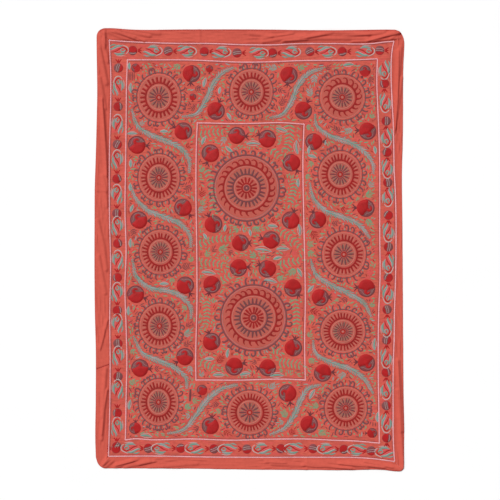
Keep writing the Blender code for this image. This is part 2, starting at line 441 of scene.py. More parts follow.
@dataclass(frozen=True)
class Drape:
    """How the cloth lies on the floor: broad puckers, creases and the stitching's ripples."""

    pucker_rise: float = 1.5 * MM
    pucker_floor: float = 0.25
    phase_at_middle: float = -math.pi / 2
    ripple_rise: float = 0.45 * MM
    steep_reach: float = 4.2
    drag_rise: float = 1.9 * MM
    fold_reach: float = 8.0

    def waves(self, trains: Sequence[Wave], x: Array, y: Array) -> Array:
        """Adds up trains of waves, as a share from -1 to 1.

        Args:
            trains: The waves.
            x: Places across (mm).
            y: Places up (mm).

        Returns:
            The sum at each place.
        """
        total = np.zeros(np.shape(x))
        for wave in trains:
            turn = math.radians(wave.turn_deg)
            forward = x * math.cos(turn) + y * math.sin(turn)
            aside = y * math.cos(turn) - x * math.sin(turn)
            bend = wave.wander * np.sin(aside / wave.wander_length)
            total += wave.share * np.sin(forward / wave.length + bend + self.phase_at_middle)
        return total / sum(wave.share for wave in trains)

    def lift(self, places: Array) -> Array:
        """Gives how far the cloth's underside is off the floor (m) at places in mm."""
        x, y = places[..., 0], places[..., 1]
        share = self.waves(PUCKER_WAVES, x, y)
        open_share = np.clip(share - self.pucker_floor, 0, None) / (1 - self.pucker_floor)
        height = self.ridges(CREASES, self.pucker_rise * open_share, x, y, self.steep_reach)
        ripple = np.clip(self.waves(RIPPLE_WAVES, x, y), 0, None)
        return height + self.ripple_rise * ripple

    def ridges(self, creases: Sequence[Crease], height: Array, x: Array, y: Array, steep: float) -> Array:
        """Raises a height (m) where creases run, steeper on the side that is away from the light.

        Args:
            creases: The creases.
            height: The height without them (m).
            x: Places across (mm).
            y: Places up (mm).
            steep: The half width of their steeper side (mm).

        Returns:
            The height with them (m).
        """
        for crease in creases:
            run = np.array([crease.x1 - crease.x0, crease.y1 - crease.y0])
            length = np.hypot(*run)
            along = ((x - crease.x0) * run[0] + (y - crease.y0) * run[1]) / length**2
            beside = ((x - crease.x0) * run[1] - (y - crease.y0) * run[0]) / length
            beside *= np.where(beside * run.sum() > 0, crease.reach / steep, 1)
            beyond = np.clip(np.abs(along - 0.5) - 0.5, 0, None) * length
            away = np.clip(np.hypot(beside, beyond) / crease.reach, 0, 2)
            height = np.maximum(height, crease.rise * MM * (0.5 + 0.5 * np.cos(np.pi * away / 2)))
        return height

    def drag(self, places: Array, across: bool) -> Array:
        """Gives the height (m) of the soft folds that run along a strip, from its seam to its hem.

        Args:
            places: The strip's grid of places (mm), from the seam outwards.
            across: Whether the strip runs along x.

        Returns:
            The added height at each place.
        """
        x, y = (places[..., 0], places[..., 1]) if across else (places[..., 1], places[..., 0])
        folds = np.clip(self.waves(DRAG_WAVES, x, y) + 0.15, 0, None)
        come_and_go = 0.6 + 0.4 * np.sin(x / 83 + 0.9 * np.sin(x / 37) + np.sign(y))
        share = np.linspace(0, 1, len(places))[:, None]
        hold = np.clip(share / 0.12, 0, 1) * np.clip((1 - share) / 0.08, 0, 1)
        soft = self.drag_rise * folds * come_and_go
        return hold * self.ridges(FOLDS, soft, places[..., 0], places[..., 1], self.fold_reach)

    def panel_top(self, places: Array) -> Array:
        """Gives the height (m) of the stitched panel's upper face at places in mm."""
        return self.lift(places) + PANEL_THICK


class Ground:
    """What the field of the panel already carries, on a grid of small cells."""

    CELL = 2.0
    STEP = 3
    SQUARED = 0.8
    LOW = np.array([-588.0, -908.0])
    HIGH = np.array([612.0, 904.0])

    def __init__(self) -> None:
        """Starts with bare ground."""
        self.taken = np.zeros(np.ceil((self.HIGH - self.LOW) / self.CELL).astype(int), bool)

    def windows(self, places: Array, reach: float) -> Iterable[tuple[slice, slice]]:
        """Gives the cells round each place, cut off at the edge of the field.

        Args:
            places: The places (mm).
            reach: How far to look from each (mm).

        Returns:
            Two slices of the grid for each place.
        """
        first = np.floor((places - reach - self.LOW) / self.CELL).astype(int)
        last = np.ceil((places + reach - self.LOW) / self.CELL).astype(int) + 1
        for (x0, y0), (x1, y1) in zip(first, last):
            yield slice(max(x0, 0), max(x1, 0)), slice(max(y0, 0), max(y1, 0))

    def mark(self, path: Array, reach: float) -> None:
        """Marks the ground along a path as taken, so far to each side (mm)."""
        reached = lengths(path)
        dense = read_path(path, reached, np.arange(0, reached[-1] + self.STEP, self.STEP))
        for across, up in self.windows(dense, reach * self.SQUARED):
            self.taken[across, up] = True

    def is_free(self, places: Array, reach: float) -> bool:
        """Tells whether the ground is bare so far round each place, inside the field."""
        if (places < self.LOW + reach).any() or (places > self.HIGH - reach).any():
            return False
        return not any(self.taken[across, up].any() for across, up in self.windows(places, reach))


class Wire:
    """One value of a node tree, with the sums that can be written on it."""

    def __init__(self, nodes: "NodeSet", socket: bpy.types.NodeSocket) -> None:
        """Keeps the nodes and the output socket that the value comes from."""
        self.nodes = nodes
        self.socket = socket

    def maths(self, operation: str, *terms: "Wire | float") -> "Wire":
        """Adds a Math node on the given terms."""
        return self.nodes.wire("ShaderNodeMath", dict(enumerate(terms)), operation=operation)

    def __add__(self, other: "Wire | float") -> "Wire":
        """Adds."""
        return self.maths("ADD", self, other)

    def __sub__(self, other: "Wire | float") -> "Wire":
        """Takes away."""
        return self.maths("SUBTRACT", self, other)

    def __rsub__(self, other: float) -> "Wire":
        """Takes away from a number."""
        return self.maths("SUBTRACT", other, self)

    def __mul__(self, other: "Wire | float") -> "Wire":
        """Multiplies."""
        return self.maths("MULTIPLY", self, other)

    def __pow__(self, other: float) -> "Wire":
        """Raises to a power."""
        return self.maths("POWER", self, other)

    __radd__ = __add__
    __rmul__ = __mul__

    def sine(self) -> "Wire":
        """Gives the sine."""
        return self.maths("SINE", self)

    def size(self) -> "Wire":
        """Gives the value without its sign."""
        return self.maths("ABSOLUTE", self)

    def within(self, low: float, high: float) -> "Wire":
        """Keeps the value from low to high."""
        return self.maths("MINIMUM", self.maths("MAXIMUM", self, low), high)


class NodeSet:
    """The nodes of one tree, added one by one."""

    def __init__(self, tree: bpy.types.NodeTree) -> None:
        """Keeps the tree."""
        self.tree = tree

    def node(self, kind: str, sockets: dict | None = None, **settings: object) -> bpy.types.Node:
        """Adds a node.

        Args:
            kind: The node's type.
            sockets: A value or a Wire for each input, by name or number.
            settings: The node's settings, such as an operation, which are set first.

        Returns:
            The node.
        """
        made = self.tree.nodes.new(kind)
        for name, value in settings.items():
            setattr(made, name, value)
        self.feed(made, sockets or {})
        return made

    def wire(
        self, kind: str, sockets: dict | None = None, output: int | str = 0, **settings: object
    ) -> Wire:
        """Adds a node and gives one of its outputs, by name or number."""
        return Wire(self, self.node(kind, sockets, **settings).outputs[output])

    def feed(self, node: bpy.types.Node, sockets: dict) -> None:
        """Sets or links a node's inputs, by name or number."""
        for name, value in sockets.items():
            if isinstance(value, Wire):
                self.tree.links.new(value.socket, node.inputs[name])
            else:
                node.inputs[name].default_value = value


class ShaderTree(NodeSet):
    """A material's node tree, with a Principled shader at its end."""

    def __init__(self, name: str) -> None:
        """Makes a material with an empty Principled shader."""
        self.material = bpy.data.materials.new(name)
        self.material.use_nodes = True
        super().__init__(self.material.node_tree)

    def surface(self, sockets: dict) -> bpy.types.Material:
        """Sets or links the shader's inputs and gives the finished material."""
        self.feed(self.tree.nodes["Principled BSDF"], sockets)
        return self.material

    def axes(self, vector: Wire) -> tuple[Wire, Wire]:
        """Gives a vector's x and y."""
        split = self.node("ShaderNodeSeparateXYZ", {0: vector})
        return Wire(self, split.outputs[0]), Wire(self, split.outputs[1])

    def place(self) -> Wire:
        """Gives the place on the object, in metres."""
        return self.wire("ShaderNodeTexCoord", output="Object")

    def uv(self, name: str) -> Wire:
        """Gives the place on one of the piece's own maps."""
        return self.wire("ShaderNodeUVMap", uv_map=name)

    def noise(self, vector: Wire, scale: float, detail: float = 2.0) -> Wire:
        """Gives soft noise, about 0.5, at so many lumps to a unit."""
        return self.wire("ShaderNodeTexNoise", {"Vector": vector, "Scale": scale, "Detail": detail})

    def stretched(self, vector: Wire, scale: Sequence[float]) -> Wire:
        """Scales a vector axis by axis."""
        return self.wire("ShaderNodeMapping", {"Vector": vector, "Scale": scale})

    def mix(self, share: Wire, first: "Colour | Wire", second: "Colour | Wire") -> Wire:
        """Mixes two colours."""
        sockets = {0: share}
        for number, colour in ((6, first), (7, second)):
            sockets[number] = colour if isinstance(colour, Wire) else (*colour, 1.0)
        return self.wire("ShaderNodeMix", sockets, 2, data_type="RGBA")

    def bump(self, height: Wire, depth: float, below: Wire | None = None) -> Wire:
        """Turns a height from 0 to 1 into a bumped normal of so many metres' depth."""
        sockets = {"Height": height, "Distance": depth, "Strength": 1.0}
        if below is not None:
            sockets["Normal"] = below
        return self.wire("ShaderNodeBump", sockets)


@dataclass(frozen=True)
class ClothFinish:
    """Plain-woven cotton: its colours (linear), its weave, how far it is mottled and, on the strips, its
    painted shade.
    """

    name: str
    main: Colour
    deep: Colour
    weave_mm: float = 1.1
    roughness: float = 0.8
    mottle: float = 1.0
    ribbed: float = 2.0
    pucker_mm: float = 1.2
    tint: Colour | None = None
    # The colour of the strips' painted shade, towards which they darken at the hem's edge, along the seam and
    # in the folds.
    crease: Colour | None = None

    def material(self) -> bpy.types.Material:
        """Builds the cloth's material.

        Returns:
            The material.
        """
        tree = ShaderTree(self.name)
        place = tree.place()
        across, along = tree.axes(place)
        turns = 2 * math.pi / (self.weave_mm * MM)
        weave = (across * turns).sine() * (along * turns).sine() * 0.5 + 0.5
        slub = tree.noise(tree.stretched(place, (60, 900, 60)), 1.0) * 0.5
        slub = slub + tree.noise(tree.stretched(place, (900, 60, 60)), 1.0) * 0.5
        broad = tree.noise(place, 9.0, 3.0)
        fine = tree.noise(place, 70.0, 3.0)
        ribs = tree.noise(tree.stretched(place, (24, 230, 24)), 1.0, 1.0)
        share = (broad - 0.5) * 1.4 + (fine - 0.5) * 1.4 + (slub - 0.5) * 0.8
        share = (share + (ribs - 0.5) * self.ribbed) * self.mottle
        colour = tree.mix((share + 0.5).within(0.0, 1.0), self.main, self.deep)
        if self.tint is not None:
            patch = tree.noise(tree.stretched(place, (30, 55, 30)), 1.0, 2.0)
            colour = tree.mix(((patch - 0.5) * 4.0).within(0.0, 0.8), colour, self.tint)
        if self.crease is not None:
            # Painted shade: the strips darken towards the hem's rolled edge, along the seam's turn and in the
            # folds that face away from the light.
            from_seam, painted_fold_shade = tree.axes(tree.uv(CUT_AND_SHADE_MAP))
            hem = ((from_seam - 0.88) * 10.0).within(0.0, 1.0)
            seam = (0.3 - from_seam).within(0.0, 0.3)
            painted_shade = (hem * 0.7 + seam * 0.6 + painted_fold_shade).within(0.0, 0.9)
            colour = tree.mix(painted_shade, colour, self.crease)
        puckers = tree.bump(tree.noise(place, 42.0, 2.5), self.pucker_mm * MM)
        threads = tree.bump(weave * 0.6 + slub * 0.8, 0.12 * MM, puckers)
        return tree.surface({
            "Base Color": colour,
            "Roughness": (self.roughness - 0.06) + fine * 0.12,
            "Normal": threads,
            "Sheen Weight": 0.02,
            "Sheen Roughness": 0.5,
            "Specular IOR Level": 0.1,
        })


@dataclass(frozen=True)
class ThreadFinish:
    """Silk laid side by side and tied down: its colours (linear), gloss, ply and ties."""

    name: str
    main: Colour
    second: Colour
    roughness: float = 0.52
    ply_mm: float = 1.0
    tie_mm: float = 4.2
    patches: float = 26.0

    def material(self) -> bpy.types.Material:
        """Builds the thread's material.

        Returns:
            The material.
        """
        tree = ShaderTree(self.name)
        place = tree.place()
        laid = tree.uv(THREAD_MAP)
        across, along = tree.axes(laid)
        ply = (across * (math.pi / self.ply_mm)).sine().size()
        slant = (along + across * 0.7) * (math.pi / self.tie_mm)
        tie = 1.0 - slant.sine().size() ** 0.5
        strand = tree.noise(tree.stretched(laid, (1.4, 0.05, 1.0)), 1.0)
        patch = tree.noise(place, self.patches, 2.0)
        share = ((patch - 0.5) * 2.4 + (strand - 0.5) * 0.9 + 0.5).within(0.0, 1.0)
        colour = tree.mix(share, self.main, self.second)
        shaded = tree.mix(tie * 0.35, colour, tuple(0.45 * value for value in self.main))
        return tree.surface({
            "Base Color": shaded,
            "Roughness": self.roughness + (strand - 0.5) * 0.2 + tie * 0.2,
            "Normal": tree.bump(ply * 0.7 - tie * 0.8, 0.25 * MM),
            "Sheen Weight": 0.02,
            "Sheen Roughness": 0.35,
            "Specular IOR Level": 0.18,
        })


@dataclass(frozen=True)
class FloorFinish:
    """A plain pale floor."""

    name: str = "floor_paint"
    main: Colour = (0.95, 0.95, 0.95)
    second: Colour = (0.93, 0.93, 0.93)
    roughness: float = 0.9

    def material(self) -> bpy.types.Material:
        """Builds the floor's material."""
        tree = ShaderTree(self.name)
        colour = tree.mix(tree.noise(tree.place(), 3.0), self.main, self.second)
        return tree.surface({"Base Color": colour, "Roughness": self.roughness})


class Silk(Enum):
    """The embroidery's thread colours, each with the record's slot that it belongs to."""

    RED = ("thread_red", (164, 34, 32), (142, 32, 30))
    FRUIT_RED = ("thread_red", (185, 28, 31), (162, 26, 27))
    MAUVE = ("thread_mauve", (124, 56, 62), (112, 70, 70))
    FRUIT_MAUVE = ("thread_mauve", (140, 60, 66), (120, 78, 76))
    DUSK = ("thread_mauve", (131, 64, 70), (118, 78, 79))
    PLUM = ("thread_mauve", (116, 42, 52), (102, 58, 60))
    AQUA = ("thread_aqua", (104, 152, 134), (150, 156, 156))
    TEAL = ("thread_aqua", (98, 156, 142), (156, 166, 166))
    MINT = ("thread_aqua", (108, 150, 132), (148, 152, 150))
    GREEN = ("thread_green", (126, 150, 110), (100, 158, 126))
    MOSS = ("thread_green", (152, 116, 98), (130, 112, 94))
    SAGE = ("thread_green", (150, 138, 124), (132, 134, 122))
    PALE = ("thread_pale", (250, 190, 196), (240, 176, 184))
    LILAC = ("thread_pale", (200, 164, 164), (180, 172, 166))
    HAZE = ("thread_pale", (176, 132, 132), (152, 130, 126))
    SALMON = ("thread_salmon", (195, 91, 79), (182, 88, 76))
    PALE_SALMON = ("thread_salmon", (202, 118, 106), (190, 110, 98))
    ROSE = ("thread_salmon", (220, 84, 86), (206, 84, 84))

    def __init__(self, slot: str, main: Colour, second: Colour) -> None:
        """Keeps the slot and the two screen colours that the thread varies between."""
        self.slot = slot
        self.main = main
        self.second = second

    def dress(self, piece: bpy.types.Object) -> None:
        """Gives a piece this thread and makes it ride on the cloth."""
        name = "silk_" + self.name.lower()
        made = bpy.data.materials.get(name)
        if made is None:
            made = ThreadFinish(name, srgb(*self.main), srgb(*self.second)).material()
        piece.data.materials.clear()
        piece.data.materials.append(made)
        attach(piece, BODY)
        LOG.info("%s: %d faces", piece.name, len(piece.data.polygons))


class Needlework:
    """Raised silk of one colour, gathered stroke by stroke and laid on the cloth as one piece."""

    FULL = ((-1.0, -1.0), (-0.86, 0.55), (0.0, 1.0), (0.86, 0.55), (1.0, -1.0))
    SLIGHT = ((-1.0, -1.0), (0.0, 1.0), (1.0, -1.0))
    BURY = 0.45

    def __init__(self, name: str, silk: Silk, drape: Drape, ground: Ground) -> None:
        """Starts an empty piece.

        Args:
            name: The piece's name.
            silk: Its thread.
            drape: The cloth that it lies on.
            ground: What the cloth already carries.
        """
        self.name = name
        self.silk = silk
        self.drape = drape
        self.ground = ground
        self.places: list[Array] = []
        self.heights: list[Array] = []
        self.threads: list[Array] = []
        self.faces: list[list[int]] = []
        self.joins: list[tuple[int, float]] = []
        self.count = 0
        self.corners = 0

    def keep(self, places: Array, heights: Array, threads: Array, faces: list[list[int]]) -> None:
        """Keeps one shape: its places (mm), heights above the cloth (mm), threads and faces."""
        self.faces += [[corner + self.count for corner in face] for face in faces]
        self.corners += sum(len(face) for face in faces)
        self.places.append(places.reshape(-1, 2))
        self.heights.append(heights.reshape(-1))
        self.threads.append(threads.reshape(-1, 2))
        self.count += len(self.places[-1])

    def stroke(
        self,
        path: Array,
        widths: float | Sequence[float] | Array,
        crown: float = 1.0,
        closed: bool = False,
        slight: bool = False,
    ) -> None:
        """Lays a crowned ribbon of thread along a path.

        Args:
            path: The ribbon's middle (mm).
            widths: Its width, or a few widths spread evenly along it (mm).
            crown: How high its middle stands above the cloth (mm).
            closed: Whether it comes back to its start.
            slight: Whether it is too small to need a full section.
        """
        path = np.asarray(path, float)
        rows = len(path)
        spread = np.atleast_1d(np.asarray(widths, float))
        width = np.interp(np.linspace(0, 1, rows), np.linspace(0, 1, len(spread)), spread)
        round_again = np.concatenate([path, path[:1]])
        if closed:
            ahead = np.diff(round_again, axis=0)
            normal = quarter_turn(ahead + np.roll(ahead, 1, axis=0))
        else:
            normal = quarter_turn(np.gradient(path, axis=0))
        section = np.array(self.SLIGHT if slight else self.FULL)
        offsets = width[:, None] / 2 * section[None, :, 0]
        places = path[:, None] + normal[:, None] * offsets[..., None]
        profile = np.where(section[:, 1] < 0, -self.BURY, crown * section[:, 1])
        reached = lengths(round_again)
        columns = len(section)
        threads = np.stack([offsets, np.repeat(reached[:rows, None], columns, axis=1)], axis=-1)
        faces = []
        for row in range(rows if closed else rows - 1):
            here, after = row * columns, (row + 1) % rows * columns
            if closed and after == 0:
                self.join(reached[-1], columns, sum(len(face) for face in faces))
            for column in range(columns - 1):
                faces.append([here + column, after + column, after + column + 1, here + column + 1])
            faces.append([here, here + columns - 1, after + columns - 1, after])
        if not closed:
            last = (rows - 1) * columns
            faces.append(list(range(columns)))
            faces.append([last + column for column in reversed(range(columns))])
        self.keep(places, np.tile(profile, rows), threads, faces)
        self.ground.mark(round_again if closed else path, width.mean() / 2)

    def join(self, length: float, columns: int, laid: int) -> None:
        """Notes where the thread map runs on, and doesn't start again, as a ring closes.

        Args:
            length: The length all round the ring (mm).
            columns: How many points its section has.
            laid: How many face corners the ring has before its last row.
        """
        first = self.corners + laid
        for column in range(columns - 1):
            self.joins += [(first + 4 * column + 1, length), (first + 4 * column + 2, length)]
        last = first + 4 * (columns - 1)
        self.joins += [(last + 2, length), (last + 3, length)]

    def fill(
        self, outline: Array, shoulder: float, crown: float, grain: float = 0.0, rings: int = 2
    ) -> None:
        """Fills an outline with laid thread.

        Args:
            outline: Its corners (mm), anticlockwise round a middle that sees them all.
            shoulder: How high its edge stands above the cloth (mm).
            crown: How high its middle stands (mm).
            grain: The direction of the threads (radians).
            rings: How many steps it takes from its edge to its middle.
        """
        count = len(outline)
        middle = outline.mean(axis=0)
        spans = outline - middle
        levels = [(1.0, -self.BURY)]
        for step in range(rings):
            scale = 0.97 * (1 - step / rings)
            levels.append((scale, crown - (crown - shoulder) * scale**2))
        places = np.concatenate([middle + spans * scale for scale, _ in levels] + [middle[None]])
        heights = np.concatenate([np.full(count, height) for _, height in levels] + [[crown]])
        cosine, sine = math.cos(grain), math.sin(grain)
        local = places - middle
        along = local[:, 0] * cosine + local[:, 1] * sine
        aside = local[:, 1] * cosine - local[:, 0] * sine
        faces = [list(range(count))[::-1]]
        for corner in range(count):
            after = (corner + 1) % count
            for level in range(len(levels) - 1):
                base = level * count
                faces.append([base + corner, base + after, base + count + after, base + count + corner])
            top = (len(levels) - 1) * count
            faces.append([top + corner, top + after, len(places) - 1])
        self.keep(places, heights, np.stack([aside, along], axis=1), faces)
        inside = np.linalg.norm(spans, axis=1).min()
        for reach in np.arange(inside, 0, -6):
            self.ground.mark(middle + spans * reach / np.linalg.norm(spans, axis=1, keepdims=True), 6)

    def leaflet(self, x: float, y: float, turn: float, length: float, width: float) -> None:
        """Lays one small pointed leaf from its root, turned so many radians."""
        path = Spot(x, y, turn).at([(0, 0), (length * 0.35, 0), (length * 0.7, 0), (length, 0)])
        self.stroke(path, (width * 0.35, width, width * 0.85, width * 0.25), 0.85, slight=True)

    def build(self) -> None:
        """Makes the piece, laid on the cloth, dressed and riding on it."""
        places = np.concatenate(self.places)
        heights = self.drape.panel_top(places) + np.concatenate(self.heights) * MM
        mesh = new_mesh(self.name, np.column_stack([places * MM, heights]).tolist(), self.faces)
        write_map(mesh, THREAD_MAP, np.concatenate(self.threads), self.joins)
        mesh.shade_smooth()
        mesh.set_sharp_from_angle(angle=math.radians(SHARP_THREAD_DEG))
        self.silk.dress(add_object(self.name, mesh))


class Strip(NamedTuple):
    """One border strip: its node, its side and the stretch of the side that it covers."""

    node: str
    side: str
    first_row: int = 0
    last_row: int | None = None


@dataclass(frozen=True)
class ClothSheets:
    """The ground panel and the five plain strips round it, as thin closed sheets."""

    drape: Drape
    columns: int = 150
    rows: int = 225
    join_share: float = 35 / 45
    steps_per_cell: int = 2
    rows_across: tuple[float, ...] = (
        0.0, 0.02, 0.05, 0.09, 0.13, 0.17, 0.21, 0.25, 0.29, 0.33, 0.37, 0.41, 0.45, 0.49, 0.53, 0.57,
        0.61, 0.65, 0.69, 0.73, 0.76, 0.79, 0.82, 0.86, 0.9, 0.94, 0.97, 0.99, 1.0,
    )
    hem_row: float = 0.79
    # How the painted fold shade grows as the cloth turns away from the light.
    away_from_light: Sequence[float] = (0.64, -0.77, 0.0)
    fold_least: float = 0.06
    fold_gain: float = 1.25
    fold_most: float = 0.8
    join_dip: float = 0.6
    join_dip_mm: float = 4.0
    join_ridge_mm: float = 7.0
    join_ridge_half_mm: float = 3.0
    join_shade: float = 0.9
    join_shade_mm: float = 5.0
    turned_seam: float = 0.4 * MM
    hem_step: float = 0.35 * MM
    edge_left: float = 0.35 * MM

    def panel_places(self) -> Array:
        """Gives the panel's grid of places (mm), rows from the top, blended from its seams."""
        u = np.linspace(0, 1, self.columns + 1)
        v = np.linspace(0, 1, self.rows + 1)
        sides = ((SEAM.top, True, u), (SEAM.bottom, True, u), (SEAM.left, False, v), (SEAM.right, False, v))
        top, bottom, left, right = (
            side_line(side, across, side[0].along, side[-1].along, shares) for side, across, shares in sides
        )
        ends = (top[0], top[-1], bottom[0], bottom[-1])
        left[0], right[0], left[-1], right[-1] = ends
        u, v = u[None, :, None], v[:, None, None]
        ruled = (1 - v) * top[None] + v * bottom[None] + (1 - u) * left[:, None] + u * right[:, None]
        corners = (1 - v) * ((1 - u) * ends[0] + u * ends[1]) + v * ((1 - u) * ends[2] + u * ends[3])
        return ruled - corners

    def corner_arc(self, corner: Corner, turn: float) -> Array:
        """Gives the point (mm) of a rounded corner after a turn from 0 to 1 of its quarter."""
        angle = turn * math.pi / 2
        side_x = np.sign(corner.x)
        side_y = np.sign(corner.y)
        x = corner.x - side_x * corner.radius_x * (1 - math.sin(angle))
        y = corner.y - side_y * corner.radius_y * (1 - math.cos(angle))
        return np.array([x, y])

    def hem_line(
        self, table: Sequence[Point], across: bool, first: Corner, last: Corner, count: int
    ) -> Array:
        """Gives a strip's outer edge: half a corner, the side, and half the next corner.

        Args:
            table: The side's points.
            across: Whether the side runs along x.
            first: The corner at its start.
            last: The corner at its end.
            count: How many places to give.

        Returns:
            The places (mm), evenly spaced.
        """
        turns = np.linspace(0.5, 0.0, 5) if across else np.linspace(0.5, 1.0, 5)
        opening = [self.corner_arc(first, turn) for turn in turns]
        closing = [self.corner_arc(last, turn) for turn in turns[::-1]]
        axis = 0 if across else 1
        side = side_line(table, across, opening[-1][axis], closing[0][axis], np.linspace(0, 1, SIDE_STEPS))
        path = np.concatenate([opening[:-1], side, closing[1:]])
        reached = lengths(path)
        return read_path(path, reached, np.linspace(0, reached[-1], count))

    def finer(self, line: Array) -> Array:
        """Divides each cell of a line into the strips' steps."""
        at = np.arange((len(line) - 1) * self.steps_per_cell + 1) / self.steps_per_cell
        return read_path(line, np.arange(len(line)), at)

    def trimmed(self, grid: Array) -> Array:
        """Draws a strip's grid back by half a seam gap along its seam and its two ends."""
        grid = grid.copy()
        half = SEAM_GAP / MM / 2
        pairs = ((grid[0], grid[1]), (grid[:, 0], grid[:, 1]), (grid[:, -1], grid[:, -2]))
        for edge, inside in pairs:
            normal = quarter_turn(np.gradient(edge, axis=0))
            inward = np.sign(((inside - edge) * normal).sum(axis=1, keepdims=True))
            edge += normal * inward * half
        return grid

    def sheet(self, name: str, places: Array, under: Array, over: Array) -> bpy.types.Object:
        """Makes one closed sheet.

        Args:
            name: The piece's name.
            places: Its grid of places (mm).
            under: The heights of its underside (m).
            over: The heights of its upper face (m).

        Returns:
            The piece.
        """
        rows, columns = under.shape
        flat = places.reshape(-1, 2) * MM
        count = rows * columns
        first = np.arange(count).reshape(rows, columns)
        quads = np.stack([first[:-1, :-1], first[:-1, 1:], first[1:, 1:], first[1:, :-1]], axis=-1)
        quads = quads.reshape(-1, 4)
        rim = np.concatenate([first[0, :-1], first[:-1, -1], first[-1, :0:-1], first[:0:-1, 0]])
        after = np.roll(rim, -1)
        walls = np.stack([after, rim, rim + count, after + count], axis=1)
        faces = np.concatenate([quads, quads[:, ::-1] + count, walls])
        vertices = np.concatenate([
            np.column_stack([flat, under.ravel()]), np.column_stack([flat, over.ravel()])
        ])
        mesh = new_mesh(name, vertices.tolist(), faces.tolist())
        step_x = places[0, 1] - places[0, 0]
        step_y = places[1, 0] - places[0, 0]
        if step_x[0] * step_y[1] - step_x[1] * step_y[0] > 0:
            mesh.flip_normals()
        mesh.shade_smooth()
        mesh.set_sharp_from_angle(angle=math.radians(SHARP_CLOTH_DEG))
        return add_object(name, mesh)

    def fold_shade(self, places: Array, heights: Array) -> Array:
        """Gives the painted shade in the folds that turn away from the light, 0 to 1.

        Args:
            places: The strip's grid of places (mm).
            heights: The heights of its underside (m).

        Returns:
            The share at each place.
        """
        spots = np.dstack([places * MM, heights])
        facing = np.cross(np.gradient(spots, axis=0), np.gradient(spots, axis=1))
        facing *= np.sign(facing[..., 2:]) / np.linalg.norm(facing, axis=-1, keepdims=True)
        away = facing @ np.array(self.away_from_light)
        return np.clip((away - self.fold_least) * self.fold_gain, 0, self.fold_most)

    def strip_profile(self) -> Array:
        """Gives a strip's thickness (m) from its seam out to its hem."""
        share = np.array(self.rows_across)
        seam = self.turned_seam * np.exp(-((share - 0.09) / 0.07) ** 2)
        hem = self.hem_step * np.clip((share - 0.76) / 0.03, 0, 1)
        rolled = np.sqrt(np.clip((1 - share) / 0.05, 0, 1))
        tucked = np.clip(0.3 + share / 0.03, 0, 1)
        full = STRIP_THICK + seam + hem
        return (self.edge_left + (full - self.edge_left) * rolled) * tucked

    def declare(self, piece: bpy.types.Object, node: str, places: Array) -> None:
        """Makes a sheet stand for its node and says how it was cut.

        Args:
            piece: The sheet.
            node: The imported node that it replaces.
            places: Its grid of places (mm).
        """
        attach(piece, BODY)
        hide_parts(node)
        width, length = np.ptp(places.reshape(-1, 2), axis=0) * MM
        a, b, c, d = places[:-1, :-1], places[:-1, 1:], places[1:, 1:], places[1:, :-1]
        one, two = c - a, d - b
        area = float(np.abs(one[..., 0] * two[..., 1] - one[..., 1] * two[..., 0]).sum() / 2 * MM**2)
        LOG.info("%s: cut %.3f by %.3f m, %.3f m2", piece.name, width, length, area)

    def build(self) -> list[Array]:
        """Makes all six sheets.

        Returns:
            The hem stitches' lines (m), one for each strip.
        """
        ground = ClothFinish(
            "ground_cotton", srgb(212, 95, 80), srgb(178, 80, 68), tint=srgb(206, 80, 80)
        )
        # The band's crease colour is its painted shade in the folds, along the seam and at the hem.
        band = ClothFinish(
            "band_cotton", srgb(209, 92, 77), srgb(192, 83, 70),
            mottle=0.8, ribbed=0.5, pucker_mm=0.8, crease=srgb(148, 36, 36),
        )
        ground_cotton, band_cotton = ground.material(), band.material()
        places = self.panel_places()
        under = self.drape.lift(places)
        panel = self.sheet("ground_panel", places, under, under + PANEL_THICK)
        panel.data.materials.append(ground_cotton)
        self.declare(panel, "embroidered_panel", places)

        join = round(self.rows * self.join_share) * self.steps_per_cell
        sides = {
            "top": (places[0], EDGE.top, True, CORNER_TOP_LEFT, CORNER_TOP_RIGHT),
            "bottom": (places[-1], EDGE.bottom, True, CORNER_BOTTOM_LEFT, CORNER_BOTTOM_RIGHT),
            "right": (places[:, -1], EDGE.right, False, CORNER_TOP_RIGHT, CORNER_BOTTOM_RIGHT),
            "left": (places[:, 0], EDGE.left, False, CORNER_TOP_LEFT, CORNER_BOTTOM_LEFT),
        }
        strips = (
            Strip("border_top", "top"),
            Strip("border_bottom", "bottom"),
            Strip("border_right", "right"),
            Strip("border_left_upper", "left", 0, join + 1),
            Strip("border_left_lower", "left", join, None),
        )
        hems = []
        share = np.array(self.rows_across)[:, None, None]
        for strip in strips:
            seam, table, across, first, last = sides[strip.side]
            inner = self.finer(seam)
            outer = self.hem_line(table, across, first, last, len(inner))
            grid = (1 - share) * inner[None] + share * outer[None]
            heights = self.drape.lift(grid) + self.drape.drag(grid, across)
            heights[0] = self.finer(self.drape.lift(seam)[:, None])[:, 0]
            grid = grid[:, strip.first_row : strip.last_row]
            heights = heights[:, strip.first_row : strip.last_row]
            thick = np.broadcast_to(self.strip_profile()[:, None], heights.shape)
            painted_fold_shade = self.fold_shade(grid, heights)
            if strip.side == "left":
                from_join = np.linalg.norm(grid[0] - grid[0, -1 if strip.first_row == 0 else 0], axis=1)
                thick = thick * (1 - np.clip(self.join_dip - from_join / self.join_dip_mm, 0, 1))
                ridge = (from_join - self.join_ridge_mm) / self.join_ridge_half_mm
                thick = thick + self.turned_seam * np.exp(-ridge**2)
                # Painted shade along the join of the two left strips.
                painted_fold_shade = np.maximum(painted_fold_shade, np.clip(1 - from_join / self.join_shade_mm, 0, self.join_shade))
            over = heights + thick
            piece = self.sheet(strip.node + "_cloth", self.trimmed(grid), heights, over)
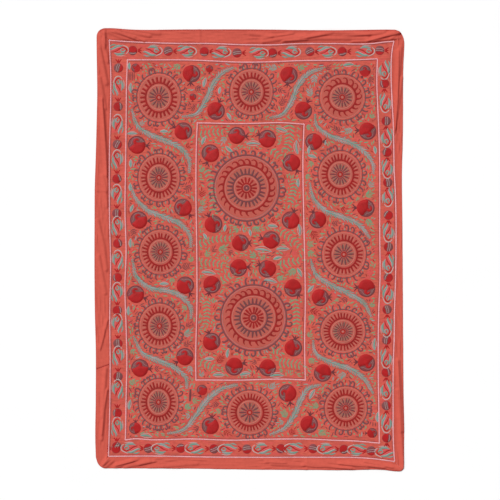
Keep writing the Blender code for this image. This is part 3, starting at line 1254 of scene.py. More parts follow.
            # The share from the seam also sets the painted shade: at the hem it is strongest on the top
            # strip, along the seam on the right strip.
            from_seam = share[:, :, 0] * (1.0 if strip.side == "top" else 0.93)
            from_seam = from_seam + (0.0 if strip.side == "right" else 0.2 * (1 - from_seam))
            cut = np.stack([np.broadcast_to(from_seam, painted_fold_shade.shape), painted_fold_shade], axis=-1).reshape(-1, 2)
            write_map(piece.data, CUT_AND_SHADE_MAP, np.tile(cut, (2, 1)))
            piece.data.materials.append(band_cotton)
            self.declare(piece, strip.node, grid)
            row = self.rows_across.index(self.hem_row)
            hems.append(np.column_stack([grid[row] * MM, over[row]]))
        return hems


@dataclass
class StitchLines:
    """Stitches that follow a line: the chain-stitched rectangles and the hem's running stitch."""

    drape: Drape
    chain_pitch: float = 6.4
    chain_length: float = 9.6
    chain_width: float = 5.8
    strand: float = 2.5
    hem_pitch: float = 9.0
    outer_inset: float = 4.0
    chain_rise: float = 0.3 * MM
    least_size: float = 0.88
    turn_spread: float = 0.07
    seed: int = 7
    inputs: dict[str, str] = field(default_factory=dict)

    HEM_SEED = 10

    def tree(self) -> bpy.types.NodeTree:
        """Builds the tree that sets a stitch at each step along a line.

        Returns:
            The tree, whose inputs' identifiers are kept by name.
        """
        tree = bpy.data.node_groups.new("stitches_along_a_line", "GeometryNodeTree")
        kinds = {
            "Line": "Geometry",
            "Stitch": "Object",
            "Pitch": "Float",
            "Least Size": "Float",
            "Turn Spread": "Float",
            "Seed": "Int",
            "Thread": "Material",
        }
        for name, kind in kinds.items():
            made = tree.interface.new_socket(
                name=name, in_out="INPUT", socket_type="NodeSocket" + kind
            )
            self.inputs[name] = made.identifier
        tree.interface.new_socket(name="Stitches", in_out="OUTPUT", socket_type="NodeSocketGeometry")

        nodes = NodeSet(tree)
        given = {socket.name: Wire(nodes, socket) for socket in nodes.node("NodeGroupInput").outputs}
        line = {"Curve": given["Line"], "Length": given["Pitch"]}
        steps = nodes.wire("GeometryNodeResampleCurve", line, mode="LENGTH")
        ahead = {"Vector": nodes.wire("GeometryNodeInputTangent")}
        facing = nodes.wire("FunctionNodeAlignRotationToVector", ahead, axis="X", pivot_axis="Z")
        sizes = {"Min": given["Least Size"], "Max": 1.0, "Seed": given["Seed"]}
        size = nodes.wire("FunctionNodeRandomValue", sizes, "Value", data_type="FLOAT")
        spread = given["Turn Spread"]
        turns = {"Min": spread * -1.0, "Max": spread, "Seed": given["Seed"]}
        turn = nodes.wire("FunctionNodeRandomValue", turns, "Value", data_type="FLOAT")
        spin = nodes.wire("ShaderNodeCombineXYZ", {"Z": turn})
        stitch = nodes.wire("GeometryNodeObjectInfo", {"Object": given["Stitch"]}, "Geometry")
        both = {"Rotation": facing, "Rotate By": spin}
        turned = nodes.wire("FunctionNodeRotateRotation", both, rotation_space="LOCAL")
        placed = nodes.wire(
            "GeometryNodeInstanceOnPoints",
            {"Points": steps, "Instance": stitch, "Rotation": turned, "Scale": size},
        )
        real = nodes.wire("GeometryNodeRealizeInstances", {"Geometry": placed})
        dressed = {"Geometry": real, "Material": given["Thread"]}
        nodes.node("NodeGroupOutput", {0: nodes.wire("GeometryNodeSetMaterial", dressed)})
        return tree

    def chain_link(self) -> bpy.types.Object:
        """Makes one link of chain stitch: a flat loop of thread, pointed at its start.

        Returns:
            The link, which is only a pattern and isn't shown.
        """
        angle = np.arange(8) * math.pi / 4
        x = -np.cos(angle) * self.chain_length / 2
        y = np.sin(angle) * (1 + 0.45 * np.cos(angle + math.pi)) * (self.chain_width - self.strand) / 2
        loop = np.stack([x, y], axis=1)
        outward = -quarter_turn(np.roll(loop, -1, axis=0) - np.roll(loop, 1, axis=0))
        section = ((-0.5, -0.25), (0.5, -0.25), (0.35, 0.45), (-0.35, 0.45))
        vertices = []
        for place, out in zip(loop, outward):
            for aside, rise in section:
                spot = place + out * aside * self.strand
                vertices.append((spot[0] * MM, spot[1] * MM, rise * self.strand * MM))
        faces = []
        for number in range(8):
            here, after = number * 4, (number + 1) % 8 * 4
            for corner in range(4):
                beside = (corner + 1) % 4
                faces.append((here + corner, here + beside, after + beside, after + corner))
        return self.pattern("chain_link", vertices, faces)

    def dash(self) -> bpy.types.Object:
        """Makes one running stitch of the hem: a short thread that dips at both ends."""
        under = -0.4 * MM
        vertices = []
        for x, width, rise in ((-2.6, 0.3, -0.2), (-1.6, 0.6, 0.35), (1.6, 0.6, 0.35), (2.6, 0.3, -0.2)):
            vertices += [(x * MM, -width * MM, under), (x * MM, 0.0, rise * MM), (x * MM, width * MM, under)]
        faces = [(0, 1, 2), (11, 10, 9)]
        for row in range(3):
            for corner in range(3):
                beside = (corner + 1) % 3
                faces.append((row * 3 + corner, row * 3 + 3 + corner, row * 3 + 3 + beside, row * 3 + beside))
        return self.pattern("hem_dash", vertices, faces)

    def pattern(self, name: str, vertices: list, faces: list) -> bpy.types.Object:
        """Keeps a stitch as a pattern outside the scene, for the tree to repeat."""
        mesh = new_mesh(name, vertices, faces)
        mesh.shade_smooth()
        return bpy.data.objects.new(name, mesh)

    def line(self, name: str, path: Array, closed: bool) -> bpy.types.Object:
        """Makes a line as a poly curve.

        Args:
            name: The line's name.
            path: Its places (m).
            closed: Whether it comes back to its start.

        Returns:
            The curve.
        """
        curve = bpy.data.curves.new(name, "CURVE")
        curve.dimensions = "3D"
        spline = curve.splines.new("POLY")
        spline.points.add(len(path) - 1)
        spline.points.foreach_set("co", np.column_stack([path, np.ones(len(path))]).ravel())
        spline.use_cyclic_u = closed
        return add_object(name, curve)

    def sew(
        self,
        tree: bpy.types.NodeTree,
        line: bpy.types.Object,
        stitch: bpy.types.Object,
        pitch: float,
        silk: Silk,
        seed: int,
    ) -> None:
        """Sets stitches along a line and turns them into a plain mesh.

        Args:
            tree: The stitching tree.
            line: The line, which is used up.
            stitch: The stitch to repeat.
            pitch: The step from one to the next (mm).
            silk: Its thread.
            seed: The seed for its small differences.
        """
        modifier = line.modifiers.new("stitches", "NODES")
        modifier.node_group = tree
        values = {
            "Stitch": stitch,
            "Pitch": pitch * MM,
            "Least Size": self.least_size,
            "Turn Spread": self.turn_spread,
            "Seed": seed,
            "Thread": None,
        }
        for name, value in values.items():
            modifier[self.inputs[name]] = value
        bpy.context.view_layer.update()
        graph = bpy.context.evaluated_depsgraph_get()
        mesh = bpy.data.meshes.new_from_object(line.evaluated_get(graph))
        name = line.name
        line.modifiers.remove(modifier)
        bpy.data.objects.remove(line)
        places = np.zeros(len(mesh.vertices) * 3)
        mesh.vertices.foreach_get("co", places)
        write_map(mesh, THREAD_MAP, places.reshape(-1, 3)[:, :2] / MM)
        silk.dress(add_object(name, mesh))

    def build(self, hems: list[Array]) -> None:
        """Makes the three chain-stitched rectangles and the hem's stitches.

        Args:
            hems: The lines of the hem's stitches (m), one for each strip.
        """
        tree = self.tree()
        link = self.chain_link()
        rectangles = (
            ("line_outer", SEAM, self.outer_inset),
            ("line_middle", MIDDLE_LINE, 0.0),
            ("line_inner", INNER_LINE, 0.0),
        )
        for number, (name, sides, inset) in enumerate(rectangles):
            path = round_path(sides, inset)
            path = np.column_stack([path * MM, self.drape.panel_top(path) + self.chain_rise])
            line = self.line(name, path, True)
            self.sew(tree, line, link, self.chain_pitch, Silk.PALE, self.seed + number)
        dash = self.dash()
        for number, path in enumerate(hems):
            line = self.line(f"hem_stitches_{number + 1}", path, False)
            self.sew(tree, line, dash, self.hem_pitch, Silk.SALMON, self.seed + self.HEM_SEED + number)


class Teeth(Enum):
    """How a wheel's middle ring is toothed."""

    CLUBS = "clubs"
    FLAMES = "flames"


class Wheel(NamedTuple):
    """A wheel: its middle, its half width and half height (mm), teeth and petals."""

    x: float
    y: float
    reach_x: float
    reach_y: float
    teeth: int
    petals: int
    kind: Teeth = Teeth.CLUBS


SMALL_WHEELS = rows_of(
    Wheel,
    (-439, 739, 105, 116, 26, 14), (9, 766, 103, 111, 28, 16),
    (450, 740, 109, 109, 18, 16, Teeth.FLAMES), (-439, 350, 100, 114, 30, 16),
    (440, 366, 105, 113, 30, 16), (-432, -10, 101, 108, 30, 18),
    (458, -22, 106, 111, 30, 14), (-436, -369, 98, 109, 28, 16),
    (453, -396, 108, 104, 34, 20), (-441, -738, 96, 112, 30, 18),
    (1, -788, 108, 106, 34, 12), (467, -767, 102, 105, 30, 16),
)
LARGE_WHEELS = rows_of(
    Wheel, (-14, 300, 158, 158, 25, 15, Teeth.FLAMES), (20, -329, 158, 158, 26, 16, Teeth.FLAMES)
)


@dataclass
class Handwork:
    """Motifs worked in several threads over the same ground."""

    drape: Drape
    ground: Ground
    seed: int = 11

    def __post_init__(self) -> None:
        """Starts the small differences of handwork and the list of pieces."""
        self.chance = np.random.default_rng(self.seed)
        self.works: list[Needlework] = []

    def thread(self, name: str, silk: Silk) -> Needlework:
        """Starts a piece of one thread."""
        self.works.append(Needlework(name, silk, self.drape, self.ground))
        return self.works[-1]

    def work(self) -> None:
        """Works every motif; each kind of motif has its own way."""

    def build(self) -> None:
        """Works the motifs and makes one piece of each thread."""
        self.work()
        for work in self.works:
            work.build()


@dataclass
class Wheels(Handwork):
    """The embroidered wheels: rings, petals, teeth and the hooks round their rims."""

    flame_root: Sequence[float] = (0.9, 0.62, 0.42, 0.3, 0.18)
    hook_mm: float = 7.6

    def __post_init__(self) -> None:
        """Starts a piece for each thread."""
        super().__post_init__()
        self.field = self.thread("wheel_fields", Silk.SALMON)
        self.pale = self.thread("wheel_pale_rings", Silk.PALE_SALMON)
        self.rim = self.thread("wheel_eyes", Silk.HAZE)
        self.red = self.thread("wheel_reds", Silk.RED)
        self.mauve = self.thread("wheel_mauves", Silk.MAUVE)
        self.green = self.thread("wheel_greens", Silk.MOSS)
        self.sage = self.thread("wheel_tufts", Silk.SAGE)
        self.hook = self.thread("wheel_hooks", Silk.DUSK)

    def ring(self, work: Needlework, spot: Spot, reach: float, width: float, crown: float = 1.0) -> None:
        """Lays a ring of thread at a share of the wheel's reach, so many mm wide."""
        work.stroke(spot.at(circle(72 if reach > 0.3 else 28, reach)), width, crown, closed=True)

    def spokes(
        self,
        work: Needlework,
        spot: Spot,
        count: int,
        span: tuple[float, float],
        widths: Sequence[float],
        shift: float = 0.0,
        crown: float = 0.95,
    ) -> None:
        """Lays straight strokes out from the middle, evenly round the wheel.

        Args:
            work: The piece to add to.
            spot: The wheel's frame.
            count: How many strokes.
            span: The shares of the reach where they start and end.
            widths: Their widths from start to end (mm).
            shift: How far the first is turned, in strokes.
            crown: Their height (mm).
        """
        for number in range(count):
            angle = (number + shift + self.chance.normal(0, 0.06)) * 2 * math.pi / count
            tip = span[1] * (1 + self.chance.normal(0, 0.02))
            reaches = np.linspace(span[0], tip, max(4, len(widths)))
            lean = self.chance.normal(0, 0.012) * np.linspace(0, 1, len(reaches))
            work.stroke(spot.at(polar(angle + lean, reaches)), widths, crown)

    def flames(self, spot: Spot, count: int, low: float, high: float, width: float) -> None:
        """Lays red flames that lean anticlockwise and curl most at the upper right.

        Args:
            spot: The wheel's frame.
            count: How many flames.
            low: The share of the reach where they start.
            high: The share of the reach where they end.
            width: The width that their own widths are shares of (mm).
        """
        pitch = 2 * math.pi / count
        straight = np.array([(-0.1, 0), (-0.08, 0.28), (-0.02, 0.52), (0.08, 0.74), (0.2, 0.9)])
        curled = np.array([(-0.42, 0), (-0.38, 0.48), (-0.16, 0.88), (0.24, 1.0), (0.5, 0.74)])
        for number in range(count):
            angle = (number + self.chance.normal(0, 0.06)) * pitch
            curl = min(max(0.55 + 0.5 * math.cos(angle - 1.0) + self.chance.normal(0, 0.1), 0), 1)
            shape = smooth_path(straight + (curled - straight) * curl, 9)
            path = polar(angle + shape[:, 0] * pitch, low + (high - low) * shape[:, 1])
            self.red.stroke(spot.at(path), np.array(self.flame_root) * width, 0.95)

    def hooks(self, spot: Spot, count: int, high: float) -> None:
        """Lays the mauve spikes, hooks and forks that stand out of a wheel's rim.

        Args:
            spot: The wheel's frame.
            count: How many there are.
            high: The share of the reach where they end.
        """
        pitch = 2 * math.pi / count
        spike = np.array([(0, 0), (-0.04, 0.4), (0.02, 0.75), (0.2, 1.0), (0.36, 1.02)])
        hook = np.array([(0, 0), (-0.06, 0.45), (0.06, 0.85), (0.38, 1.0), (0.62, 0.8), (0.52, 0.55)])
        stem = np.array([(0, 0), (0, 0.5), (0, 0.8)])
        arms = np.array([(-0.46, 0.66), (-0.34, 0.98), (0, 0.78), (0.34, 0.98), (0.46, 0.66)])
        shapes = ((spike,), (hook,), (stem, arms))
        for number in range(count):
            angle = (number + self.chance.normal(0, 0.1)) * pitch
            hand = 1 if self.chance.random() < 0.7 else -1
            span = (high - 1) * (1 + self.chance.normal(0, 0.1))
            thick = self.hook_mm * (1.2 if count > 25 else 1.0)
            for shape in shapes[self.chance.choice(3, p=(0.44, 0.3, 0.26))]:
                smooth = smooth_path(shape, 10)
                path = polar(angle + hand * smooth[:, 0] * pitch * 0.75, 1 + span * smooth[:, 1])
                widths = np.array([1.4, 1.15, 1.0, 0.95, 0.65]) * thick
                self.hook.stroke(spot.at(path), widths, 0.9)
            turn = angle + 0.5 * pitch
            reaches = np.array([1.05, 1.1, 1.16])
            self.sage.stroke(spot.at(polar(turn, reaches)), (7, 10, 6), 0.7, slight=True)

    def small(self, wheel: Wheel) -> None:
        """Works one small wheel.

        Args:
            wheel: Its row of the table.
        """
        spot = Spot(wheel.x, wheel.y, 0.0, wheel.reach_x, wheel.reach_y)
        unit = (wheel.reach_x + wheel.reach_y) / 2
        self.field.fill(spot.at(circle(72, 0.98)), 0.2, 0.35, rings=12)
        self.rim.fill(spot.at(circle(14, 0.024)), 0.6, 1.0)
        self.ring(self.red, spot, 0.1, 0.07 * unit)
        self.ring(self.mauve, spot, 0.165, 0.035 * unit, 0.8)
        petal = np.array([0.04, 0.07, 0.075, 0.04]) * unit * 16 / wheel.petals
        self.spokes(self.mauve, spot, wheel.petals, (0.18, 0.455), petal)
        self.spokes(self.green, spot, wheel.petals, (0.27, 0.46), (3.0, 4.4, 3.4), 0.5, 0.8)
        self.ring(self.pale, spot, 0.505, 0.045 * unit)
        self.ring(self.red, spot, 0.615, 0.085 * unit)
        if wheel.kind is Teeth.CLUBS:
            club = np.array([0.125, 0.096, 0.084, 0.098, 0.07]) * unit * 28 / wheel.teeth
            self.spokes(self.red, spot, wheel.teeth, (0.63, 0.86), club)
            self.spokes(self.pale, spot, wheel.teeth, (0.73, 0.88), (3.0, 2.6), 0.5, 0.7)
        else:
            self.flames(spot, wheel.teeth, 0.62, 0.88, 0.16 * unit)
        self.ring(self.pale, spot, 0.945, 0.03 * unit, 0.8)
        self.ring(self.hook, spot, 1.035, 0.046 * unit)
        self.hooks(spot, 22, 1.25)

    def large(self, wheel: Wheel) -> None:
        """Works one large wheel.

        Args:
            wheel: Its row of the table.
        """
        spot = Spot(wheel.x, wheel.y, 0.0, wheel.reach_x, wheel.reach_y)
        unit = wheel.reach_x
        self.field.fill(spot.at(circle(96, 0.97)), 0.2, 0.35, rings=17)
        self.rim.fill(spot.at(circle(14, 0.017)), 0.6, 1.0)
        self.ring(self.mauve, spot, 0.06, 0.07 * unit)
        self.ring(self.red, spot, 0.14, 0.055 * unit)
        self.spokes(self.red, spot, wheel.petals, (0.15, 0.325), np.array([0.04, 0.055, 0.075, 0.055]) * unit)
        self.ring(self.pale, spot, 0.36, 0.028 * unit)
        self.ring(self.mauve, spot, 0.42, 0.05 * unit)
        self.spokes(self.mauve, spot, 27, (0.43, 0.6), np.array([0.078, 0.07, 0.06, 0.04]) * unit)
        self.spokes(self.green, spot, 27, (0.48, 0.58), (2.0, 2.8, 2.0), 0.5, 0.7)
        self.ring(self.pale, spot, 0.65, 0.022 * unit)
        self.ring(self.red, spot, 0.71, 0.055 * unit)
        self.flames(spot, wheel.teeth, 0.71, 0.89, 0.125 * unit)
        self.ring(self.rim, spot, 0.955, 0.014 * unit, 0.8)
        self.ring(self.hook, spot, 1.01, 0.05 * unit)
        self.hooks(spot, 28, 1.175)

    def work(self) -> None:
        """Works all the wheels."""
        for wheel in SMALL_WHEELS:
            self.small(wheel)
        for wheel in LARGE_WHEELS:
            self.large(wheel)


class Fruit(NamedTuple):
    """A pomegranate: its middle (mm), which way it opens, its crown's direction, its reach."""

    x: float
    y: float
    open_deg: float
    crown_deg: float
    reach: float = 40.0


FRUITS = rows_of(
    Fruit,
    (-285, 855, -15, -90), (-165, 677, -50, 65), (188, 849, -30, -95), (260, 679, -70, 60),
    (-324, 573, 35, 150), (-544, 505, 110, 0), (-318, 203, 150, -50), (-534, 141, 120, 0),
    (-314, -175, 45, -55), (-550, -219, 110, -20), (-313, -522, 85, 210),
    (-530, -577, 95, 0), (316, 525, 185, 0), (571, 579, -60, 180), (335, 147, 200, 125),
    (560, 204, -20, 180), (340, -229, -35, 0), (568, -182, -90, 180), (357, -593, -110, 0),
    (565, -544, -60, 180), (286, -844, -30, 80), (189, -696, 160, -80),
    (-186, -855, 145, 85), (-62, 551, 80, 0), (87, 535, 95, 150), (-186, 465, 130, 245),
    (208, 423, 185, -60), (-178, 123, 15, 115), (204, 142, 160, 75), (-47, 33, 15, 0),
    (104, 44, 70, 165), (-52, -83, -100, 0), (91, -91, 200, 155), (-184, -165, -60, 255),
    (211, -181, -90, -55), (-186, -448, 50, 105), (209, -475, 0, 75),
    (-73, -562, -100, 15), (88, -568, -90, 190), (-228, -682, 120, -110, 24),
    (-194, 876, 80, -90, 17), (-275, 740, 60, -90, 16), (-549, 881, 160, 0, 20),
    (561, 865, 90, -120, 26), (-552, -864, 180, 90, 27), (593, -889, 30, 180, 22),
)


@dataclass
class Pomegranates(Handwork):
    """The pomegranates of the field: a red body, an open mauve side and a small crown."""

    def __post_init__(self) -> None:
        """Starts a piece for each thread."""
        super().__post_init__()
        self.mauve = self.thread("fruit_mauves", Silk.FRUIT_MAUVE)
        self.red = self.thread("fruit_reds", Silk.FRUIT_RED)
        self.line = self.thread("fruit_outlines", Silk.HAZE)
        self.crown = self.thread("fruit_crowns", Silk.PLUM)

    def one(self, fruit: Fruit) -> None:
        """Works one pomegranate.

        Args:
            fruit: Its row of the table.
        """
        reach = fruit.reach * (1 + self.chance.normal(0, 0.015))
        turn = math.radians(fruit.open_deg)
        hand = 1 if self.chance.random() < 0.5 else -1
        spot = Spot(fruit.x, fruit.y, turn, reach, reach * hand)
        disc = Spot(fruit.x, fruit.y, turn, reach, reach)
        self.mauve.fill(disc.at(circle(28, 1.02) + (0.1, 0)), 0.3, 0.5, 0.4)
        rim = polar(np.radians(np.linspace(-112, 112, 26)), 1.02) + (0.1, 0)
        self.crown.stroke(disc.at(rim), np.array([0.05, 0.1, 0.1, 0.1, 0.05]) * reach, 0.85)
        back = polar(np.radians(np.linspace(82, 278, 18)), 0.98)
        front = np.array([(0.2, -0.62), (0.34, -0.3), (0.4, 0.0), (0.32, 0.3), (0.16, 0.64)])
        outline = np.concatenate([back, front])
        self.red.fill(disc.at(outline * (1, hand))[::hand], 0.75, 1.25, turn + math.pi / 2)
        tail = [(0.3, -0.04), (0.54, -0.13), (0.72, 0.02), (0.7, 0.24), (0.52, 0.36)]
        widths = np.array([0.48, 0.38, 0.32, 0.26, 0.16]) * reach
        self.red.stroke(spot.at(smooth_path(tail, 12)), widths, 1.25)
        loop = [
            (0.34, -0.84), (0.46, -0.56), (0.7, -0.42), (0.93, -0.12), (0.92, 0.26), (0.66, 0.58),
            (0.3, 0.56),
        ]
        self.line.stroke(spot.at(smooth_path(loop, 20)), 0.045 * reach, 0.95)
        short = smooth_path([(0.14, 0.92), (0.34, 0.74), (0.6, 0.72)], 7)
        self.line.stroke(spot.at(short), 0.05 * reach, 0.9)
        crown = Spot(fruit.x, fruit.y, math.radians(fruit.crown_deg), reach, reach)
        for lean in (-1, 0, 1):
            tip = 1.55 if lean == 0 else 1.48
            path = [(1.0, 0.03 * lean), (1.2, 0.12 * lean), (1.34, 0.26 * lean), (tip, 0.45 * lean)]
            self.crown.stroke(crown.at(smooth_path(path, 6)), np.array([0.2, 0.17, 0.14, 0.08]) * reach, 0.95)

    def work(self) -> None:
        """Works all the pomegranates."""
        for fruit in FRUITS:
            self.one(fruit)


GARLANDS = (
    ((-328, 645), (-258, 660), (-207, 731), (-177, 801), (-126, 862), (-76, 884)),
    ((97, 640), (157, 655), (208, 726), (238, 801), (288, 857), (359, 882)),
    ((-571, 684), (-542, 600), (-476, 556), (-397, 525), (-330, 490), (-291, 432), (-293, 370)),
    ((-576, 316), (-555, 256), (-490, 190), (-399, 155), (-328, 120), (-288, 69), (-284, 10)),
    ((-568, -43), (-545, -134), (-480, -185), (-388, -200), (-318, -235), (-283, -286), (-283, -336)),
    ((-563, -417), (-520, -498), (-439, -538), (-358, -574), (-308, -619), (-303, -675)),
    ((319, 660), (323, 609), (389, 554), (480, 524), (561, 473), (601, 408), (601, 367)),
    ((293, 327), (308, 256), (369, 190), (460, 155), (541, 114), (586, 54)),
    ((296, -43), (319, -114), (400, -174), (490, -215), (561, -266), (591, -326)),
    ((308, -437), (319, -498), (400, -548), (490, -579), (561, -629), (601, -700)),
    ((-399, -892), (-318, -872), (-258, -801), (-197, -720), (-126, -670), (-55, -655)),
    ((97, -897), (167, -866), (218, -801), (248, -730), (288, -670), (349, -655)),
)


@dataclass
class Garlands(Handwork):
    """The long feathered leaves that swing between the wheels."""

    pitch: float = 9.5
    body: float = 6.0
    leaflet: float = 25.0
    spread: float = 0.66

    def work(self) -> None:
        """Works all the garlands."""
        leaf = self.thread("garland_leaves", Silk.TEAL)
        line = self.thread("garland_outlines", Silk.MAUVE)
        for points in GARLANDS:
            span = sum(math.dist(a, b) for a, b in zip(points, points[1:]))
            steps = int(span / self.pitch)
            path = smooth_path(points, steps + 1)
            heading = np.arctan2(*np.gradient(path, axis=0).T[::-1])
            swell = np.sin(math.pi * np.linspace(0.06, 0.94, steps + 1)) ** 0.5
            leaf.stroke(path, self.body * swell, 1.1)
            line.stroke(path, 3.4 * swell, 1.45, slight=True)
            for (x, y), forward, size in zip(path[:-1], heading[:-1], swell[:-1]):
                for side in (1, -1):
                    turn = forward + side * (self.spread + self.chance.normal(0, 0.07))
                    length = self.leaflet * size * (1 + self.chance.normal(0, 0.12))
                    leaf.leaflet(x, y, turn, length, 6.4 * (0.5 + 0.5 * size))
                    spot = Spot(x, y, turn)
                    edge = [
                        (0.4 * length, side * 3.4), (0.75 * length, side * 3.0), (1.08 * length, side * 0.8),
                    ]
                    line.stroke(spot.at(edge), (1.2, 2.0, 1.2), 0.7, slight=True)


BORDER_FRUITS = {
    "top": (-566, -394, -219, -60, 112, 293, 450, 632),
    "right": (807, 625, 473, 327, 168, 14, -134, -289, -437, -594, -755, -912),
    "bottom": (591, 458, 308, 152, -12, -172, -333, -490, -647),
    "left": (-953, -791, -614, -454, -293, -134, 31, 177, 345, 511, 695, 882),
}
BORDER_RED_FRUITS = {
    "top": (0, 2, 4, 6), "right": (0, 2, 4, 6, 9, 11), "bottom": (1, 3, 6, 8), "left": (1, 4, 5, 6, 8, 10),
}
BORDER_LEAVES = {
    "top": (-632, -469, -303, -136, 46, 202, 376, 561),
    "right": (872, 712, 544, 392, 256, 84, -69, -214, -377, -528, -680, -841),
    "bottom": (655, 521, 374, 212, 61, -106, -267, -429, -576),
    "left": (-857, -675, -513, -355, -204, -48, 116, 271, 438, 610, 795),
}


@dataclass
class BorderBand(Handwork):
    """The band between the outer and middle lines: small fruit and curled leaves, in turn."""

    reach: float = 23.5
    curl_long: float = 0.92
    curl_wide: float = 0.98

    def __post_init__(self) -> None:
        """Starts a piece for each thread."""
        super().__post_init__()
        self.red = self.thread("border_reds", Silk.FRUIT_RED)
        self.rose = self.thread("border_roses", Silk.ROSE)
        self.mauve = self.thread("border_fruit_mauves", Silk.FRUIT_MAUVE)
        self.leaf = self.thread("border_leaves", Silk.MINT)
        self.line = self.thread("border_outlines", Silk.LILAC)

    def spot(self, side: str, along: float) -> Spot:
        """Gives the frame of a motif: +x runs clockwise round the border and +y outwards."""
        across = side in ("top", "bottom")
        tables = (getattr(SEAM, side), getattr(MIDDLE_LINE, side))
        ends = [side_line(table, across, along, along, [0])[0] for table in tables]
        middle = (ends[0] + ends[1]) / 2
        turn = {"top": 0.0, "right": -math.pi / 2, "bottom": math.pi, "left": math.pi / 2}[side]
        return Spot(middle[0], middle[1], turn)

    def fruit(self, spot: Spot, number: int, is_red: bool) -> None:
        """Works one small fruit, mostly red or mostly mauve, that faces out and in by turns.

        Args:
            spot: Its frame.
            number: Its number along the side.
            is_red: Whether it is mostly red.
        """
        outward = math.pi / 2 if number % 2 else -math.pi / 2
        turn = spot.turn + outward + self.chance.normal(0, 0.3)
        disc = Spot(spot.x, spot.y, turn, self.reach, self.reach * 0.98)
        self.mauve.fill(disc.at(circle(20)), 0.4, 0.6, turn)
        share = self.chance.uniform(0.22, 0.4) if is_red else self.chance.uniform(-0.5, -0.3)
        half = 90 + math.degrees(math.asin(share)) + 12
        back = polar(np.radians(np.linspace(180 - half, 180 + half, 14)), 0.93)
        front = np.array([(share, -0.5), (share + 0.1, 0.0), (share, 0.5)])
        self.red.fill(disc.at(np.concatenate([back, front])), 0.75, 1.1, turn)
        for shift in (0.22,) if is_red else (0.24, 0.62):
            width = 0.8 * math.sqrt(1 - (share + shift) ** 2)
            inside = share + shift
            edge = smooth_path([(inside, -width), (inside + 0.1, 0.0), (inside, width)], 8)
            self.line.stroke(disc.at(edge), 2.4, 0.9)
        for lean in (-1, 0, 1):
            path = [(self.reach + 2, 2 * lean), (self.reach + 9, 6 * lean), (self.reach + 19, 14 * lean)]
            self.red.stroke(spot.at(path), (8, 7, 4), 0.9)

    def curl(self, spot: Spot, flip: int) -> None:
        """Works one curled leaf: two blades, a hooked head and an eye.

        Args:
            spot: Its frame.
            flip: 1 for a head that hooks outwards and -1 for one that hooks inwards.
        """
        mirrored = Spot(spot.x, spot.y, spot.turn, self.curl_long, self.curl_wide * flip)
        shapes = (
            (self.leaf, ((18, -20), (-3, -21), (-20, -14), (-36, -6), (-52, -5)), (4, 12, 12, 9, 4), 1.05),
            (self.leaf, ((30, 16), (9, 20), (-12, 20), (-26, 14)), (4, 12, 11, 4), 1.05),
            (self.leaf, ((-14, -25), (-30, -26), (-48, -20)), (3, 8.5, 3.5), 0.9),
            (self.leaf, ((34, 0), (25, 8), (12, 7), (10, -2), (18, -7), (26, -4)), (5, 9, 9, 7, 6, 4), 0.9),
            (self.rose, ((22, 2), (4, 6), (-16, 12), (-34, 16)), (4, 10, 8, 3), 0.7),
            (self.rose, ((24, -10), (10, -14), (-16, -4), (-46, 8)), (4, 8, 8, 3), 0.7),
            (
                self.line,
                ((36, 19), (47, 11), (51, 0), (45, -12), (30, -20), (14, -26)),
                (3, 5, 5.4, 5, 3),
                0.95,
            ),
            (self.line, ((10, -15), (-6, -15), (-22, -8), (-44, 1)), (2, 4, 4, 2), 0.8),
            (self.line, ((32, 26), (8, 29), (-16, 27)), (2, 4, 2), 0.8),
            (
                self.red,
                ((30, 11), (40, 1), (34, -10), (19, -13), (2, -6), (-14, 5), (-36, 10)),
                (3, 6, 6, 5, 5, 5, 2.5),
                0.9,
            ),
        )
        for work, path, widths, crown in shapes:
            work.stroke(mirrored.at(smooth_path(path, 2 * len(path) + 2)), widths, crown)

    def work(self) -> None:
        """Works the whole band."""
        for side, places in BORDER_FRUITS.items():
            for number, along in enumerate(places):
                self.fruit(self.spot(side, along), number, number in BORDER_RED_FRUITS[side])
        for side, places in BORDER_LEAVES.items():
            for number, along in enumerate(places):
                self.curl(self.spot(side, along), 1 if number % 2 else -1)


class Leaf(NamedTuple):
    """A small outlined leaf: its middle (mm), direction and length (mm)."""

    x: float
    y: float
    turn_deg: float
    length: float


SMALL_LEAVES = rows_of(
    Leaf,
    (-222, 530, 65, 44), (18, 515, 0, 68), (156, 582, -20, 58), (230, 497, 95, 68),
    (-118, 105, 80, 34), (-215, 65, -60, 34), (3, 83, -80, 34), (66, -1, -8, 82),
    (162, 5, 0, 63), (243, 96, -85, 58), (237, 325, 90, 44), (-198, -111, -8, 68),
    (137, -40, 15, 44), (102, -151, -12, 63), (243, -109, -62, 48), (-105, -501, 80, 44),
    (-21, -602, 10, 53), (133, -609, 2, 68), (-149, -607, 0, 58), (-194, -529, 0, 48),
    (-575, 785, 90, 48), (-582, 891, 90, 34), (-414, 574, 0, 39), (-568, 564, 0, 48),
    (-575, 419, 90, 39), (-577, 304, 90, 39), (-144, 773, 80, 34), (-99, 647, -60, 39),
    (-217, 812, 75, 48), (480, 897, 5, 53), (369, 519, 90, 24), (304, 453, -15, 44),
    (-570, 201, 70, 39), (-576, 33, 90, 44), (112, 115, -5, 48), (607, -458, 88, 58),
    (298, -190, 50, 44), (-586, -296, 90, 44), (-581, -751, 80, 48), (-414, -165, 0, 44),
    (304, -700, 60, 53), (622, -811, 88, 48), (-500, -902, -8, 58), (609, 484, -80, 39),
    (289, 484, 85, 39), (-99, 489, 140, 44),
)


class Fern(NamedTuple):
    """A sprig: the ends of its stem (mm), its pairs of leaflets and their length (mm)."""

    x0: float
    y0: float
    x1: float
    y1: float
    pairs: int
    length: float


